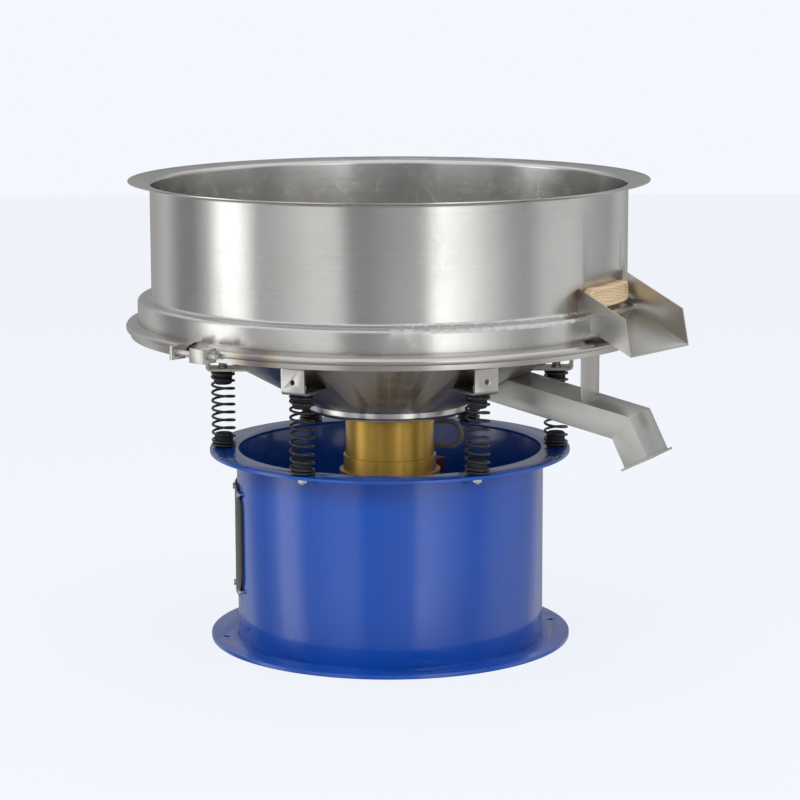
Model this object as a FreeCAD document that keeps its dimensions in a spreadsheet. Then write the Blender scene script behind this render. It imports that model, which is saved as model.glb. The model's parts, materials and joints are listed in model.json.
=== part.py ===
import FreeCAD, Part
import math
import os
from types import SimpleNamespace

import Sketcher

# Vibrating sieve, 1000 mm class.  Millimetres and degrees.  The origin is the middle of the base's
# underside, Z points up, X to the right and the front of the machine faces -Y.
# Headings are measured from +X, counter-clockwise seen from above.

SIZES = (
    # base drum
    ("base_height", 375, "underside of the base flange to the top of the spring flange"),
    ("drum_od", 600, "outer diameter of the drum"),
    ("drum_wall", 3, "sheet of the drum"),
    ("base_flange_od", 706, "outer diameter of the foot flange"),
    ("base_flange_bore", 590, "inner diameter of the foot flange"),
    ("base_flange_thickness", 8, "plate of the foot flange"),
    ("base_bolt_circle", 652, "pitch circle of the floor bolts"),
    ("base_bolt_hole", 13, "hole for a floor bolt"),
    ("base_bolt_heading", -79, "heading of the first floor bolt"),
    ("top_flange_od", 704, "outer diameter of the spring flange"),
    ("top_flange_bore", 592, "inner diameter of the spring flange"),
    ("top_flange_thickness", 6, "plate of the spring flange"),
    # hand hole in the drum
    ("hatch_heading", 180, "heading of the hand hole"),
    ("hatch_centre_z", 199, "height of the hand hole's middle"),
    ("hatch_hole_width", 150, "width of the hand hole"),
    ("hatch_hole_height", 170, "height of the hand hole"),
    ("hatch_border", 22, "how far the cover reaches past the hole"),
    ("hatch_corner", 24, "corner radius of the hand hole"),
    ("gasket_thickness", 2, "rubber under the hand hole cover"),
    ("cover_thickness", 2.5, "sheet of the hand hole cover"),
    ("cover_screw_inset", 10, "cover edge to the middle of its screws"),
    ("cover_screw_head", 12, "head diameter of a cover screw"),
    ("cover_screw_head_height", 4, "head height of a cover screw"),
    ("cover_screw_shank", 6, "shank of a cover screw"),
    ("cover_screw_play", 0.5, "cover screw to its hole, on the radius"),
    ("cover_screw_grip", 6, "cover screw inside the outer face of the drum"),
    # coil springs and their rubber plugs
    ("spring_circle", 650, "pitch circle of the springs"),
    ("spring_height", 152, "spring flange to the underside of a bracket"),
    ("spring_od", 47, "outer diameter of a coil"),
    ("spring_wire", 5, "wire of a coil"),
    ("spring_turns", 11, "turns of a coil, closed ends included"),
    ("spring_end_gap", 0.5, "gap between the wire turns at a closed end"),
    ("plug_length", 28, "rubber plug inside each end of a coil"),
    ("plug_clearance", 0.5, "coil to plug, on the radius"),
    ("plug_chamfer", 3, "lead-in of a plug"),
    ("stud_d", 10, "stud moulded into a plug"),
    ("stud_embed", 18, "length of stud inside the rubber"),
    ("stud_tail", 3, "stud past its nut"),
    ("stud_clearance", 0.5, "stud hole to stud, on the radius"),
    ("nut_width", 16, "width across flats of an M10 nut"),
    ("nut_height", 8, "nut height without its washer face"),
    ("nut_washer_d", 20, "washer face of a nut"),
    ("nut_washer_thickness", 2, "washer face of a nut"),
    ("thread_gap", 0.1, "nut bore to thread, on the radius"),
    # brackets between springs and pan
    ("bracket_thickness", 5, "flat bar of a bracket"),
    ("bracket_width", 50, "width of a bracket"),
    ("bracket_lip", 50, "height of the upright lip"),
    ("bracket_reach", 32, "spring axis to the outer face of the lip"),
    ("bracket_hole", 10, "hole in the lip"),
    ("bracket_bend", 9, "outer bend between the bar and its lip"),
    # lower pan
    ("seat_radius", 158, "outer radius of the motor seat"),
    ("pan_height", 141, "motor seat to the underside of the pan's flange"),
    ("pan_slope", 29.1, "slope of the pan"),
    ("pan_sheet", 3, "sheet of the pan"),
    ("pan_knuckle", 24, "bend between pan and flange"),
    ("clamp_rise", 79, "underside of the brackets to the underside of the pan's flange"),
    ("clamp_radius", 497, "outer radius of everything held in the clamp band"),
    # clamped stack
    ("seal_thickness", 3, "rubber seal under and over the screen"),
    ("seal_width", 24, "width of a seal"),
    ("screen_ring_height", 7, "height of the screen ring"),
    ("screen_ring_width", 25, "width of the screen ring"),
    ("screen_bar_width", 20, "flat bars of the screen cross"),
    ("screen_bar_height", 5, "flat bars of the screen cross"),
    ("mesh_thickness", 0.8, "woven screen"),
    ("mesh_inset", 3, "screen edge to ring edge"),
    ("tub_flange_thickness", 4, "flange ring under the tub"),
    ("tub_flange_width", 20, "width of that ring"),
    # tub
    ("tub_sheet", 2, "sheet of the tub"),
    ("collar_inset", 10, "clamped edge to the outside of the tub's collar"),
    ("collar_height", 48.2, "flange ring to the top of the collar's shoulder"),
    ("shoulder_rise", 2, "rise of the shoulder towards the wall"),
    ("shoulder_bend", 9, "bends at the shoulder"),
    ("shoulder_width", 27, "collar to the tub wall"),
    ("wall_height", 218, "shoulder to where the wall turns out into the rim"),
    ("rim_width", 42, "tub wall to the edge of the rim"),
    ("rim_rise", 5.6, "rise of the rim towards its edge"),
    ("rim_bend", 6, "bend between wall and rim"),
    # clamp band
    ("band_sheet", 2.5, "sheet of the clamp band"),
    ("band_cover", 5.2, "flange ring to the inner edge of the upper lip"),
    ("band_nose_reach", 13, "clamped edge to the band's nose"),
    ("band_nose_rise", 15, "underside of the pan's flange to the middle of the nose"),
    ("band_groove_rise", 7, "underside of the pan's flange to the groove under the nose"),
    ("band_foot_reach", 4, "clamped edge to the outside of the band below the groove"),
    ("band_lip_hold", 8, "lower lip under the pan's flange"),
    ("band_clearance", 0.2, "band to the flanges that it holds"),
    ("closure_heading", -131, "heading of the band's closure"),
    ("closure_gap", 44, "gap between the band's ends"),
    ("closure_gap_offset", -28, "middle of the gap along the band"),
    ("lug_thickness", 6, "lug plates on the band's ends"),
    ("lug_height", 26, "height of a lug"),
    ("lug_reach", 32, "band nose to the outer edge of a lug"),
    ("block_length", 36, "length of the threaded block"),
    ("clamp_bolt_d", 10, "clamp bolt"),
    ("clamp_bolt_offset", 17, "band nose to the bolt's axis"),
    ("clamp_bolt_rise", 12, "underside of the pan's flange to the bolt's axis"),
    ("clamp_bolt_tail", 18, "bolt past the block"),
    ("clamp_bolt_head", 7, "height of the bolt's head"),
    ("clamp_play", 0.3, "bolt to lug, head to lug and bolt to block"),
    # outlet under the pan
    ("duct_heading", -26.6, "heading of the lower outlet"),
    ("duct_width", 107, "outer width of the outlet"),
    ("duct_height", 50, "outer height of the outlet"),
    ("duct_sheet", 3, "sheet of the outlet"),
    ("duct_slope", 12, "slope of the straight run"),
    ("duct_datum_radius", 263, "where the top's height is given"),
    ("duct_datum_drop", 70, "underside of the pan's flange to the top there"),
    ("duct_start_radius", 195, "start of the run before it is cut to the pan"),
    ("duct_bend_reach", 25, "clamped edge to the top of the mitred bend"),
    ("spout_slope", 63.5, "slope of the spout"),
    ("spout_length", 87, "length of the spout's top"),
    ("lip_thickness", 4, "frame round the spout's mouth"),
    ("lip_width", 6, "frame outside the spout"),
    ("strap_inset", 77, "clamped edge to the inner face of the strap that carries the outlet"),
    ("strap_width", 86, "width of that strap"),
    ("strap_thickness", 3, "sheet of that strap"),
    # chute on the tub
    ("chute_heading", -39, "heading of the oversize chute"),
    ("chute_offset", 77, "middle of the chute, to the left of its heading"),
    ("chute_width", 192, "outer width of the chute"),
    ("chute_depth", 62, "height of its side walls, upright"),
    ("chute_sheet", 2.5, "sheet of the chute"),
    ("chute_slope", 25, "slope of the chute"),
    ("chute_rise", 59, "shoulder to the top of the side walls at the datum"),
    ("chute_datum_inset", 23, "tub wall inwards to that datum"),
    ("chute_overlap", 60, "start inside the tub wall, before it is cut to the tub"),
    ("chute_reach", 117, "tub wall to the end of the floor"),
    ("chute_setback", 14, "how far the side walls' top stays behind the floor"),
    ("mouth_width", 154, "width of the mouth in the tub wall"),
    ("mouth_rise", 15, "shoulder to the sill of the mouth"),
    ("mouth_height", 26, "height of the mouth"),
    ("mouth_corner", 11, "corner radius of the mouth"),
    # wooden stopper of the mouth
    ("stopper_border", 6, "how far the stopper's face reaches past the mouth"),
    ("stopper_face", 16, "thickness of its face outside the wall"),
    ("stopper_tongue", 8, "length of its tongue inside the wall"),
    ("stopper_dish", 5, "depth of the dished face"),
    ("stopper_dish_border", 7, "rim round the dished face"),
    ("stopper_play", 0.3, "stopper to the wall and the mouth"),
    # motor seat and weight cover
    ("seat_drop", 17, "foot of the pan to the underside of the motor seat"),
    ("seat_height", 26, "height of the motor seat"),
    ("seat_wall", 3, "wall of the motor seat"),
    ("seat_plate", 6, "bottom of the motor seat"),
    ("seat_corner", 9, "outer bend of the motor seat"),
    ("seat_bore", 120, "hole for the shaft and its bearing"),
    ("dome_radius", 112, "outer radius of the weight cover"),
    ("dome_sheet", 2, "sheet of the weight cover"),
    ("dome_clearance", 22, "shaft to the top of the weight cover"),
    ("dome_bend", 24, "bend at the top of the weight cover"),
    ("dome_foot", 14, "foot flange of the weight cover"),
    # motor
    ("motor_od", 173, "upper barrel"),
    ("motor_step_drop", 88, "motor seat to the seam between the upper and lower barrel"),
    ("motor_step_od", 182, "lower barrel"),
    ("motor_foot_drop", 126, "motor seat to the underside of the foot flange"),
    ("motor_foot_height", 9, "foot flange"),
    ("motor_foot_od", 198, "foot flange"),
    ("motor_tail_od", 166, "barrel below the foot flange"),
    ("motor_length", 156, "length of the housing"),
    ("motor_bore", 146, "bore for the stator"),
    ("motor_crown", 16, "top wall of the housing, as thick as the bearing"),
    ("motor_bolt_circle", 148, "bolts between housing and seat"),
    ("motor_bolt_head", 6.4, "height of an M10 hexagon head"),
    ("motor_bolt_depth", 12, "bolt inside the housing"),
    ("shield_thickness", 16, "lower end shield, as thick as the bearing"),
    ("shield_screw_circle", 150, "screws of the end shield"),
    ("shield_screw_d", 8, "screws of the end shield"),
    ("shield_screw_head", 13, "screw head across"),
    ("shield_screw_depth", 6, "screw inside the housing"),
    ("bearing_od", 62, "deep groove bearing"),
    ("bearing_bore", 30, "deep groove bearing"),
    ("bearing_race", 5, "radial thickness of each race"),
    ("bearing_recess", 1.5, "seal below the races' faces"),
    ("bearing_fit", 0.1, "shaft and housing to bearing, on the radius"),
    ("stator_bore", 92, "bore of the stator"),
    ("stator_height", 84, "stator pack"),
    ("stator_rise", 44, "lower end of the housing to the stator pack"),
    ("stator_fit", 0.1, "stator to housing, on the radius"),
    ("air_gap", 0.8, "rotor to stator"),
    # rotor
    ("shaft_end", 9, "shaft past the upper weight and past its nut"),
    ("shaft_chamfer", 2, "both ends of the shaft"),
    ("hub_radius", 28, "hub of an unbalance weight"),
    ("weight_radius", 92, "radius of an unbalance weight"),
    ("weight_angle", 150, "sector of an unbalance weight"),
    ("weight_bore_play", 0.1, "weight to shaft, on the radius"),
    ("weight_clearance", 3, "weights to the bolt heads beside them"),
    ("upper_weight_thickness", 26, "upper weight"),
    ("lower_weight_thickness", 22, "fixed lower weight"),
    ("adjust_weight_thickness", 22, "adjustable lower weight"),
    ("weight_gap", 0.3, "between the two lower weights and below them"),
    ("shaft_nut_od", 50, "round nut that holds the lower weights"),
    ("shaft_nut_height", 9, "round nut"),
    # terminal box and its conduit
    ("box_heading", 47, "heading of the terminal box"),
    ("box_radial", 44, "terminal box, outwards"),
    ("box_width", 52, "terminal box, across"),
    ("box_height", 44, "terminal box, upwards"),
    ("box_drop", 158, "motor seat to the underside of the terminal box"),
    ("box_wall", 3, "wall of the terminal box"),
    ("box_corner", 5, "upright corners of the terminal box"),
    ("lid_thickness", 3, "lid of the terminal box"),
    ("conduit_od", 11, "flexible conduit"),
    ("gland_od", 18, "conduit gland"),
    ("gland_length", 12, "conduit gland"),
    ("upper_gland_drop", 37, "motor seat to the middle of the gland on the upper barrel"),
    ("upper_gland_heading", 44, "heading of that gland"),
    ("conduit_rise", 25, "conduit straight up out of the lid"),
    ("conduit_radius", 151, "machine's axis to the conduit's upright run"),
    ("conduit_heading", 22, "heading of that run"),
    ("conduit_reach", 38, "conduit straight out of the upper barrel"),
    ("conduit_end_gap", 1, "barrel to the conduit's end inside its gland"),
)

COUNTS = SimpleNamespace(springs=6, base_bolts=4, motor_bolts=6, shield_screws=4)


# ---------------------------------------------------------------- numbers with their expressions

class Dim:
    """A number together with the spreadsheet expression that drives it."""

    def __init__(self, number, text):
        self.number = number
        self.text = text

    @staticmethod
    def of(value):
        return value if isinstance(value, Dim) else Dim(float(value), str(value))

    @staticmethod
    def join(left, sign, right, number):
        return Dim(number, f"({left.text} {sign} {right.text})")

    def __add__(self, other):
        other = Dim.of(other)
        return Dim.join(self, "+", other, self.number + other.number)

    def __sub__(self, other):
        other = Dim.of(other)
        return Dim.join(self, "-", other, self.number - other.number)

    def __mul__(self, other):
        other = Dim.of(other)
        return Dim.join(self, "*", other, self.number * other.number)

    def __truediv__(self, other):
        other = Dim.of(other)
        return Dim.join(self, "/", other, self.number / other.number)

    def __radd__(self, other):
        return Dim.of(other) + self

    def __rsub__(self, other):
        return Dim.of(other) - self

    def __rmul__(self, other):
        return Dim.of(other) * self

    def __neg__(self):
        return Dim.of(0) - self


def sine(angle):
    return Dim(math.sin(math.radians(angle.number)), f"sin({angle.text})")


def cosine(angle):
    return Dim(math.cos(math.radians(angle.number)), f"cos({angle.text})")


def tangent(angle):
    return Dim(math.tan(math.radians(angle.number)), f"tan({angle.text})")


doc = FreeCAD.newDocument("VibratingSieve")
sheet = doc.addObject("Spreadsheet::Sheet", "Dims")
for row, (alias, number, meaning) in enumerate(SIZES, 1):
    sheet.set(f"A{row}", alias)
    sheet.set(f"B{row}", str(number))
    sheet.set(f"C{row}", meaning)
    sheet.setAlias(f"B{row}", alias)
doc.recompute()
D = SimpleNamespace(**{alias: Dim(float(number), f"Dims.{alias}") for alias, number, _ in SIZES})


def derive(**values):
    """Keep values worked out from the table in cells of their own."""
    for alias, value in values.items():
        cell = len(vars(D)) + 1
        sheet.set(f"A{cell}", alias)
        sheet.set(f"B{cell}", "=" + value.text.replace("Dims.", ""))
        sheet.setAlias(f"B{cell}", alias)
        setattr(D, alias, Dim(value.number, f"Dims.{alias}"))


derive(bracket_z=D.base_height + D.spring_height)
derive(clamp_seat_z=D.bracket_z + D.clamp_rise)
derive(pan_foot_z=D.clamp_seat_z - D.pan_height, lower_seal_z=D.clamp_seat_z + D.pan_sheet)
derive(screen_ring_z=D.lower_seal_z + D.seal_thickness)
derive(mesh_z=D.screen_ring_z + D.screen_ring_height)
derive(upper_seal_z=D.mesh_z + D.mesh_thickness)
derive(tub_flange_z=D.upper_seal_z + D.seal_thickness)
derive(tub_z=D.tub_flange_z + D.tub_flange_thickness)
derive(shoulder_z=D.tub_z + D.collar_height)
derive(rim_corner_z=D.shoulder_z + D.wall_height, mouth_bottom_z=D.shoulder_z + D.mouth_rise,
       chute_top_z=D.shoulder_z + D.chute_rise)
derive(collar_radius=D.clamp_radius - D.collar_inset)
derive(wall_radius=D.collar_radius - D.shoulder_width)
derive(rim_radius=D.wall_radius + D.rim_width, chute_datum_radius=D.wall_radius - D.chute_datum_inset,
       chute_start_radius=D.wall_radius - D.chute_overlap, chute_length=D.wall_radius + D.chute_reach)
derive(band_nose_radius=D.clamp_radius + D.band_nose_reach, band_top_z=D.tub_z + D.band_cover,
       band_foot_radius=D.clamp_radius + D.band_foot_reach, band_lip_radius=D.clamp_radius - D.band_lip_hold,
       band_nose_z=D.clamp_seat_z + D.band_nose_rise, band_groove_z=D.clamp_seat_z + D.band_groove_rise,
       clamp_bolt_z=D.clamp_seat_z + D.clamp_bolt_rise)
derive(duct_datum_z=D.clamp_seat_z - D.duct_datum_drop, duct_bend_radius=D.clamp_radius + D.duct_bend_reach,
       strap_radius=D.clamp_radius - D.strap_inset)
derive(seat_bottom_z=D.pan_foot_z - D.seat_drop)
derive(seat_top_z=D.seat_bottom_z + D.seat_height, seat_floor_z=D.seat_bottom_z + D.seat_plate)
derive(motor_step_z=D.seat_bottom_z - D.motor_step_drop, motor_foot_z=D.seat_bottom_z - D.motor_foot_drop,
       motor_bottom_z=D.seat_bottom_z - D.motor_length, box_z=D.seat_bottom_z - D.box_drop,
       upper_gland_z=D.seat_bottom_z - D.upper_gland_drop)
derive(stator_z=D.motor_bottom_z + D.stator_rise, shield_z=D.motor_bottom_z - D.shield_thickness)
derive(upper_weight_z=D.seat_floor_z + D.motor_bolt_head + D.weight_clearance)
derive(shaft_top_z=D.upper_weight_z + D.upper_weight_thickness + D.shaft_end)
derive(dome_top_z=D.shaft_top_z + D.dome_clearance)
derive(lower_weight_z=D.shield_z - D.shield_screw_d - D.weight_clearance - D.lower_weight_thickness)
derive(adjust_weight_z=D.lower_weight_z - D.weight_gap - D.adjust_weight_thickness)
derive(shaft_nut_z=D.adjust_weight_z - D.weight_gap - D.shaft_nut_height)
derive(shaft_bottom_z=D.shaft_nut_z - D.shaft_end)
derive(pan_rise=tangent(D.pan_slope), pan_skin=D.pan_sheet / cosine(D.pan_slope))
derive(drum_radius=D.drum_od / 2, lid_top_z=D.box_z + D.box_height + D.lid_thickness)
doc.recompute()

PARTS = []        # the objects that become nodes
DEGREES_PER_RADIAN = 180 / math.pi


def bind(thing, **sizes):
    """Drive properties of an object from the spreadsheet."""
    for name, value in sizes.items():
        thing.setExpression(name, Dim.of(value).text)
    return thing


def put(thing, x=0, y=0, z=0):
    """Drive an object's place from the spreadsheet."""
    for axis, value in (("x", x), ("y", y), ("z", z)):
        thing.setExpression(f"Placement.Base.{axis}", Dim.of(value).text)
    return thing


def turn(thing, angle, axis=(0, 0, 1)):
    """Turn an object about an axis through its own origin by a driven angle."""
    start = FreeCAD.Rotation(FreeCAD.Vector(*axis), Dim.of(angle).number or 1)
    thing.Placement = FreeCAD.Placement(thing.Placement.Base, start)
    thing.setExpression("Placement.Rotation.Angle", Dim.of(angle).text)
    return thing


def part(thing):
    """Keep an object as a node of the machine."""
    thing.Label = thing.Name
    PARTS.append(thing)
    return thing


# ---------------------------------------------------------------- sketches and bodies

def new_body(name):
    return doc.addObject("PartDesign::Body", name)


def new_sketch(body, name, plane, offset=0):
    """A sketch on one of the body's origin planes, shifted along the plane's normal."""
    sketch = body.newObject("Sketcher::SketchObject", name)
    support = next(item for item in body.Origin.OriginFeatures if item.Role == f"{plane}_Plane")
    sketch.AttachmentSupport = [(support, "")]
    sketch.MapMode = "FlatFace"
    sketch.setExpression("AttachmentOffset.Base.z", Dim.of(offset).text)
    return sketch


def fix_point(sketch, geometry, point, x, y):
    """Drive one point of a sketch from the spreadsheet."""
    for kind, value in (("DistanceX", Dim.of(x)), ("DistanceY", Dim.of(y))):
        index = sketch.addConstraint(Sketcher.Constraint(kind, -1, 1, geometry, point, value.number))
        sketch.setExpression(f"Constraints[{index}]", value.text)


def bend_points(before, corner, after, radius):
    """Where a bend of a given radius starts and ends on the two lines at a corner."""
    towards, away = (before - corner).normalize(), (after - corner).normalize()
    half = towards.getAngle(away) / 2
    reach = radius / math.tan(half)
    centre = corner + (towards + away).normalize() * (radius / math.sin(half))
    return corner + towards * reach, corner + away * reach, centre


def outline(sketch, corners):
    """A closed outline of straight lines; a corner with a third value is rounded by that radius."""
    corners = [tuple(Dim.of(value) for value in corner) for corner in corners]
    spots = [FreeCAD.Vector(corner[0].number, corner[1].number, 0) for corner in corners]
    count = len(corners)
    starts, ends, arcs = list(spots), list(spots), {}
    for i, corner in enumerate(corners):
        if len(corner) == 3:
            ends[i], starts[i], arcs[i] = bend_points(spots[i - 1], spots[i], spots[(i + 1) % count],
                                                      corner[2].number)
    lines = [sketch.addGeometry(Part.LineSegment(starts[i], ends[(i + 1) % count]), False)
             for i in range(count)]
    for i, corner in enumerate(corners):
        before, after = lines[i - 1], lines[i]
        if i not in arcs:
            sketch.addConstraint(Sketcher.Constraint("Coincident", before, 2, after, 1))
            fix_point(sketch, after, 1, corner[0], corner[1])
            continue
        first, last = ends[i] - arcs[i], starts[i] - arcs[i]
        turns_left = (first.x * last.y - first.y * last.x) > 0
        from_angle = math.atan2(first.y, first.x) if turns_left else math.atan2(last.y, last.x)
        to_angle = math.atan2(last.y, last.x) if turns_left else math.atan2(first.y, first.x)
        circle = Part.Circle(arcs[i], FreeCAD.Vector(0, 0, 1), corner[2].number)
        arc = sketch.addGeometry(Part.ArcOfCircle(circle, from_angle, to_angle), False)
        sketch.addConstraint(Sketcher.Constraint("Tangent", before, 2, arc, 1 if turns_left else 2))
        sketch.addConstraint(Sketcher.Constraint("Tangent", after, 1, arc, 2 if turns_left else 1))
        index = sketch.addConstraint(Sketcher.Constraint("Radius", arc, corner[2].number))
        sketch.setExpression(f"Constraints[{index}]", corner[2].text)
        mark = sketch.addGeometry(Part.Point(spots[i]), True)
        sketch.addConstraint(Sketcher.Constraint("PointOnObject", mark, 1, before))
        sketch.addConstraint(Sketcher.Constraint("PointOnObject", mark, 1, after))
        fix_point(sketch, mark, 1, corner[0], corner[1])


def add_circle(sketch, x, y, diameter):
    """A circle whose place and size are driven from the spreadsheet."""
    x, y, diameter = Dim.of(x), Dim.of(y), Dim.of(diameter)
    centre = FreeCAD.Vector(x.number, y.number, 0)
    circle = sketch.addGeometry(Part.Circle(centre, FreeCAD.Vector(0, 0, 1), diameter.number / 2), False)
    fix_point(sketch, circle, 3, x, y)
    index = sketch.addConstraint(Sketcher.Constraint("Diameter", circle, diameter.number))
    sketch.setExpression(f"Constraints[{index}]", diameter.text)


def turned(name, corners, heading=0):
    """A body turned about Z from an outline of (radius, height) corners."""
    body = new_body(name)
    sketch = new_sketch(body, f"{name}_profile", "XZ")
    outline(sketch, corners)
    revolution = body.newObject("PartDesign::Revolution", f"{name}_turn")
    revolution.Profile = sketch
    revolution.ReferenceAxis = (sketch, ["V_Axis"])
    revolution.Angle = 360
    return turn(body, heading)


def groove(body, name, corners):
    """Cut a turned recess about Z out of a body."""
    sketch = new_sketch(body, f"{body.Name}_{name}_profile", "XZ")
    outline(sketch, corners)
    cut = body.newObject("PartDesign::Groove", f"{body.Name}_{name}")
    cut.Profile = sketch
    cut.ReferenceAxis = (sketch, ["V_Axis"])
    cut.Angle = 360
    return cut


def extrude(body, kind, name, plane, offset, draw, length, both_ways=False):
    """A Pad or Pocket of a drawing on an origin plane, one way or evenly both ways."""
    sketch = new_sketch(body, f"{body.Name}_{name}_sketch", plane, offset)
    draw(sketch)
    feature = body.newObject(f"PartDesign::{kind}", f"{body.Name}_{name}")
    feature.Profile = sketch
    feature.Midplane = both_ways
    return bind(feature, Length=length)


def polar(body, feature, count):
    """Repeat a feature evenly about Z."""
    pattern = body.newObject("PartDesign::PolarPattern", f"{feature.Name}_pattern")
    pattern.Originals = [feature]
    axis = next(item for item in body.Origin.OriginFeatures if item.Role == "Z_Axis")
    pattern.Axis = (axis, [""])
    pattern.Angle = 360
    pattern.Occurrences = count
    body.Tip = pattern
    return pattern


def drill(body, name, radius, heading, diameter, top, depth, count):
    """Round holes down from a height, evenly about Z."""
    def draw(sketch):
        add_circle(sketch, radius * cosine(heading), radius * sine(heading), diameter)
    hole = extrude(body, "Pocket", name, "XY", top, draw, depth)
    return polar(body, hole, count)


# ---------------------------------------------------------------- primitives and groups

def cylinder(name, diameter, height, x=0, y=0, z=0):
    thing = doc.addObject("Part::Cylinder", name)
    return put(bind(thing, Radius=diameter / 2, Height=height), x, y, z)


def tube(name, outer_radius, inner_radius, bottom, height):
    """A plain tube or ring about Z."""
    return turned(name, ((inner_radius, bottom), (outer_radius, bottom),
                         (outer_radius, bottom + height), (inner_radius, bottom + height)))


def hexagon(name, across_flats, height, x=0, y=0, z=0):
    thing = doc.addObject("Part::Prism", name)
    thing.Polygon = 6
    return put(bind(thing, Circumradius=across_flats / (2 * cosine(Dim.of(30))), Height=height), x, y, z)


def combine(kind, name, things):
    """Fuse, cut or intersect objects; a cut takes the rest from the first."""
    if kind == "MultiFuse":
        result = doc.addObject("Part::MultiFuse", name)
        result.Shapes = list(things)
        return result
    result = doc.addObject(f"Part::{kind}", name)
    result.Base, result.Tool = things
    return result


def bored(name, blank, diameter, low, height, x=0):
    """A piece with a round hole right through it; the cut runs on past both of its ends."""
    return combine("Cut", name, (blank, cylinder(f"{name}_bore", diameter, 3 * height, x=x, z=low - height)))


def ring_of(name, pattern, count, heading=0):
    """Copies of one piece evenly about Z, as separate solids of one node."""
    copies = []
    for index in range(count):
        copy = doc.addObject("App::Link", f"{name}_{index + 1}")
        copy.LinkedObject = pattern
        copy.LinkTransform = False
        turn(copy, heading + Dim.of(360 * index / count))
        copies.append(copy)
    group = doc.addObject("Part::Compound", name)
    group.Links = copies
    return group


# ---------------------------------------------------------------- base drum

def pan_radius(height):
    """Radius of the pan's underside at a height."""
    return D.seat_radius + (height - D.pan_foot_z) / D.pan_rise


def ring_plate(name, outer, inner, bottom, thickness):
    """A flat flange plate padded from two circles."""
    body = new_body(name)

    def draw(sketch):
        add_circle(sketch, 0, 0, outer)
        add_circle(sketch, 0, 0, inner)
    extrude(body, "Pad", "plate", "XY", bottom, draw, thickness)
    return body


def hatch_window(name, border):
    """A prism with rounded corners that outlines the hand hole, along the body's X."""
    body = new_body(name)
    half_width = D.hatch_hole_width / 2 + border
    half_height = D.hatch_hole_height / 2 + border
    corner = D.hatch_corner + border
    low, high = D.hatch_centre_z - half_height, D.hatch_centre_z + half_height

    def draw(sketch):
        outline(sketch, ((-half_width, low, corner), (half_width, low, corner),
                         (half_width, high, corner), (-half_width, high, corner)))
    extrude(body, "Pad", "prism", "YZ", 0, draw, D.drum_od)
    return turn(body, D.hatch_heading)


def build_base():
    flange = ring_plate("base_flange", D.base_flange_od, D.base_flange_bore, 0, D.base_flange_thickness)
    drill(flange, "bolt_holes", D.base_bolt_circle / 2, D.base_bolt_heading, D.base_bolt_hole,
          D.base_flange_thickness, D.base_flange_thickness, COUNTS.base_bolts)
    part(flange)

    top = ring_plate("top_flange", D.top_flange_od, D.top_flange_bore,
                     D.base_height - D.top_flange_thickness, D.top_flange_thickness)
    drill(top, "stud_holes", D.spring_circle / 2, Dim.of(0), D.stud_d + 2 * D.stud_clearance,
          D.base_height, D.top_flange_thickness, COUNTS.springs)
    part(top)

    wall_height = D.base_height - D.top_flange_thickness - D.base_flange_thickness
    shell = tube("drum_shell", D.drum_radius, D.drum_radius - D.drum_wall, D.base_flange_thickness,
                 wall_height)
    hand_hole = hatch_window("hand_hole", Dim.of(0))
    cover_edge = hatch_window("cover_edge", D.hatch_border)
    hole = D.cover_screw_shank + 2 * D.cover_screw_play
    screw_holes = ring_of_cover_screws("cover_screw_holes", hole, D.drum_od)
    part(combine("Cut", "base_drum", (combine("Cut", "drum_opened", (shell, hand_hole)), screw_holes)))

    gasket_radius = D.drum_radius + D.gasket_thickness
    cover_radius = gasket_radius + D.cover_thickness
    gasket_shell = tube("gasket_shell", gasket_radius, D.drum_radius, D.base_flange_thickness, wall_height)
    cover_shell = tube("cover_shell", cover_radius, gasket_radius, D.base_flange_thickness, wall_height)
    gasket_blank = combine("Common", "gasket_blank", (gasket_shell, cover_edge))
    gasket_open = combine("Cut", "gasket_open", (gasket_blank, hand_hole))
    part(combine("Cut", "cover_gasket", (gasket_open, screw_holes)))
    cover_blank = combine("Common", "cover_blank", (cover_shell, cover_edge))
    part(combine("Cut", "access_cover", (cover_blank, screw_holes)))

    part(ring_of_cover_screws("cover_screws", D.cover_screw_shank, cover_radius, cover_radius))


def radial_pin(name, diameter, start, length):
    """A cylinder that points outwards along +X."""
    pin = doc.addObject("Part::Cylinder", name)
    bind(pin, Radius=diameter / 2, Height=length)
    return put(turn(pin, 90, (0, 1, 0)), start)


def ring_of_cover_screws(name, shank, reach, head_radius=None):
    """Six screws, or their holes, that point outwards at the hand hole's border."""
    half_height = D.hatch_hole_height / 2 + D.hatch_border - D.cover_screw_inset
    half_width = D.hatch_hole_width / 2 + D.hatch_border - D.cover_screw_inset
    spread = half_width / D.drum_radius * DEGREES_PER_RADIAN
    start = D.drum_radius - D.cover_screw_grip
    screws = []
    for row, side in enumerate((-1, 1)):
        for column in (-1, 0, 1):
            index = 3 * row + column + 2
            pieces = [radial_pin(f"{name}_shank_{index}", shank, start, reach - start)]
            if head_radius is not None:
                pieces.append(radial_pin(f"{name}_head_{index}", D.cover_screw_head, head_radius,
                                         D.cover_screw_head_height))
            screw = doc.addObject("Part::MultiFuse" if head_radius else "Part::Compound", f"{name}_{index}")
            setattr(screw, "Shapes" if head_radius else "Links", pieces)
            aimed = held(f"{name}_aimed_{index}", screw)
            put(aimed, z=D.hatch_centre_z + side * half_height)
            screws.append(turn(aimed, D.hatch_heading + column * spread))
    group = doc.addObject("Part::Compound", name)
    group.Links = screws
    return group


# ---------------------------------------------------------------- springs, plugs and brackets

SPRING_STEPS = 12         # straight lengths of wire in each turn, kept few because there are so many turns
WIRE_SIDES = 6            # flats round the wire, kept few for the same reason
MITRED = 1                # how a sweep turns its corners
CLOSED_TURNS = 0.75       # closed turns at each end
OPENING_TURNS = 1.0       # turns over which the pitch opens


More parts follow.
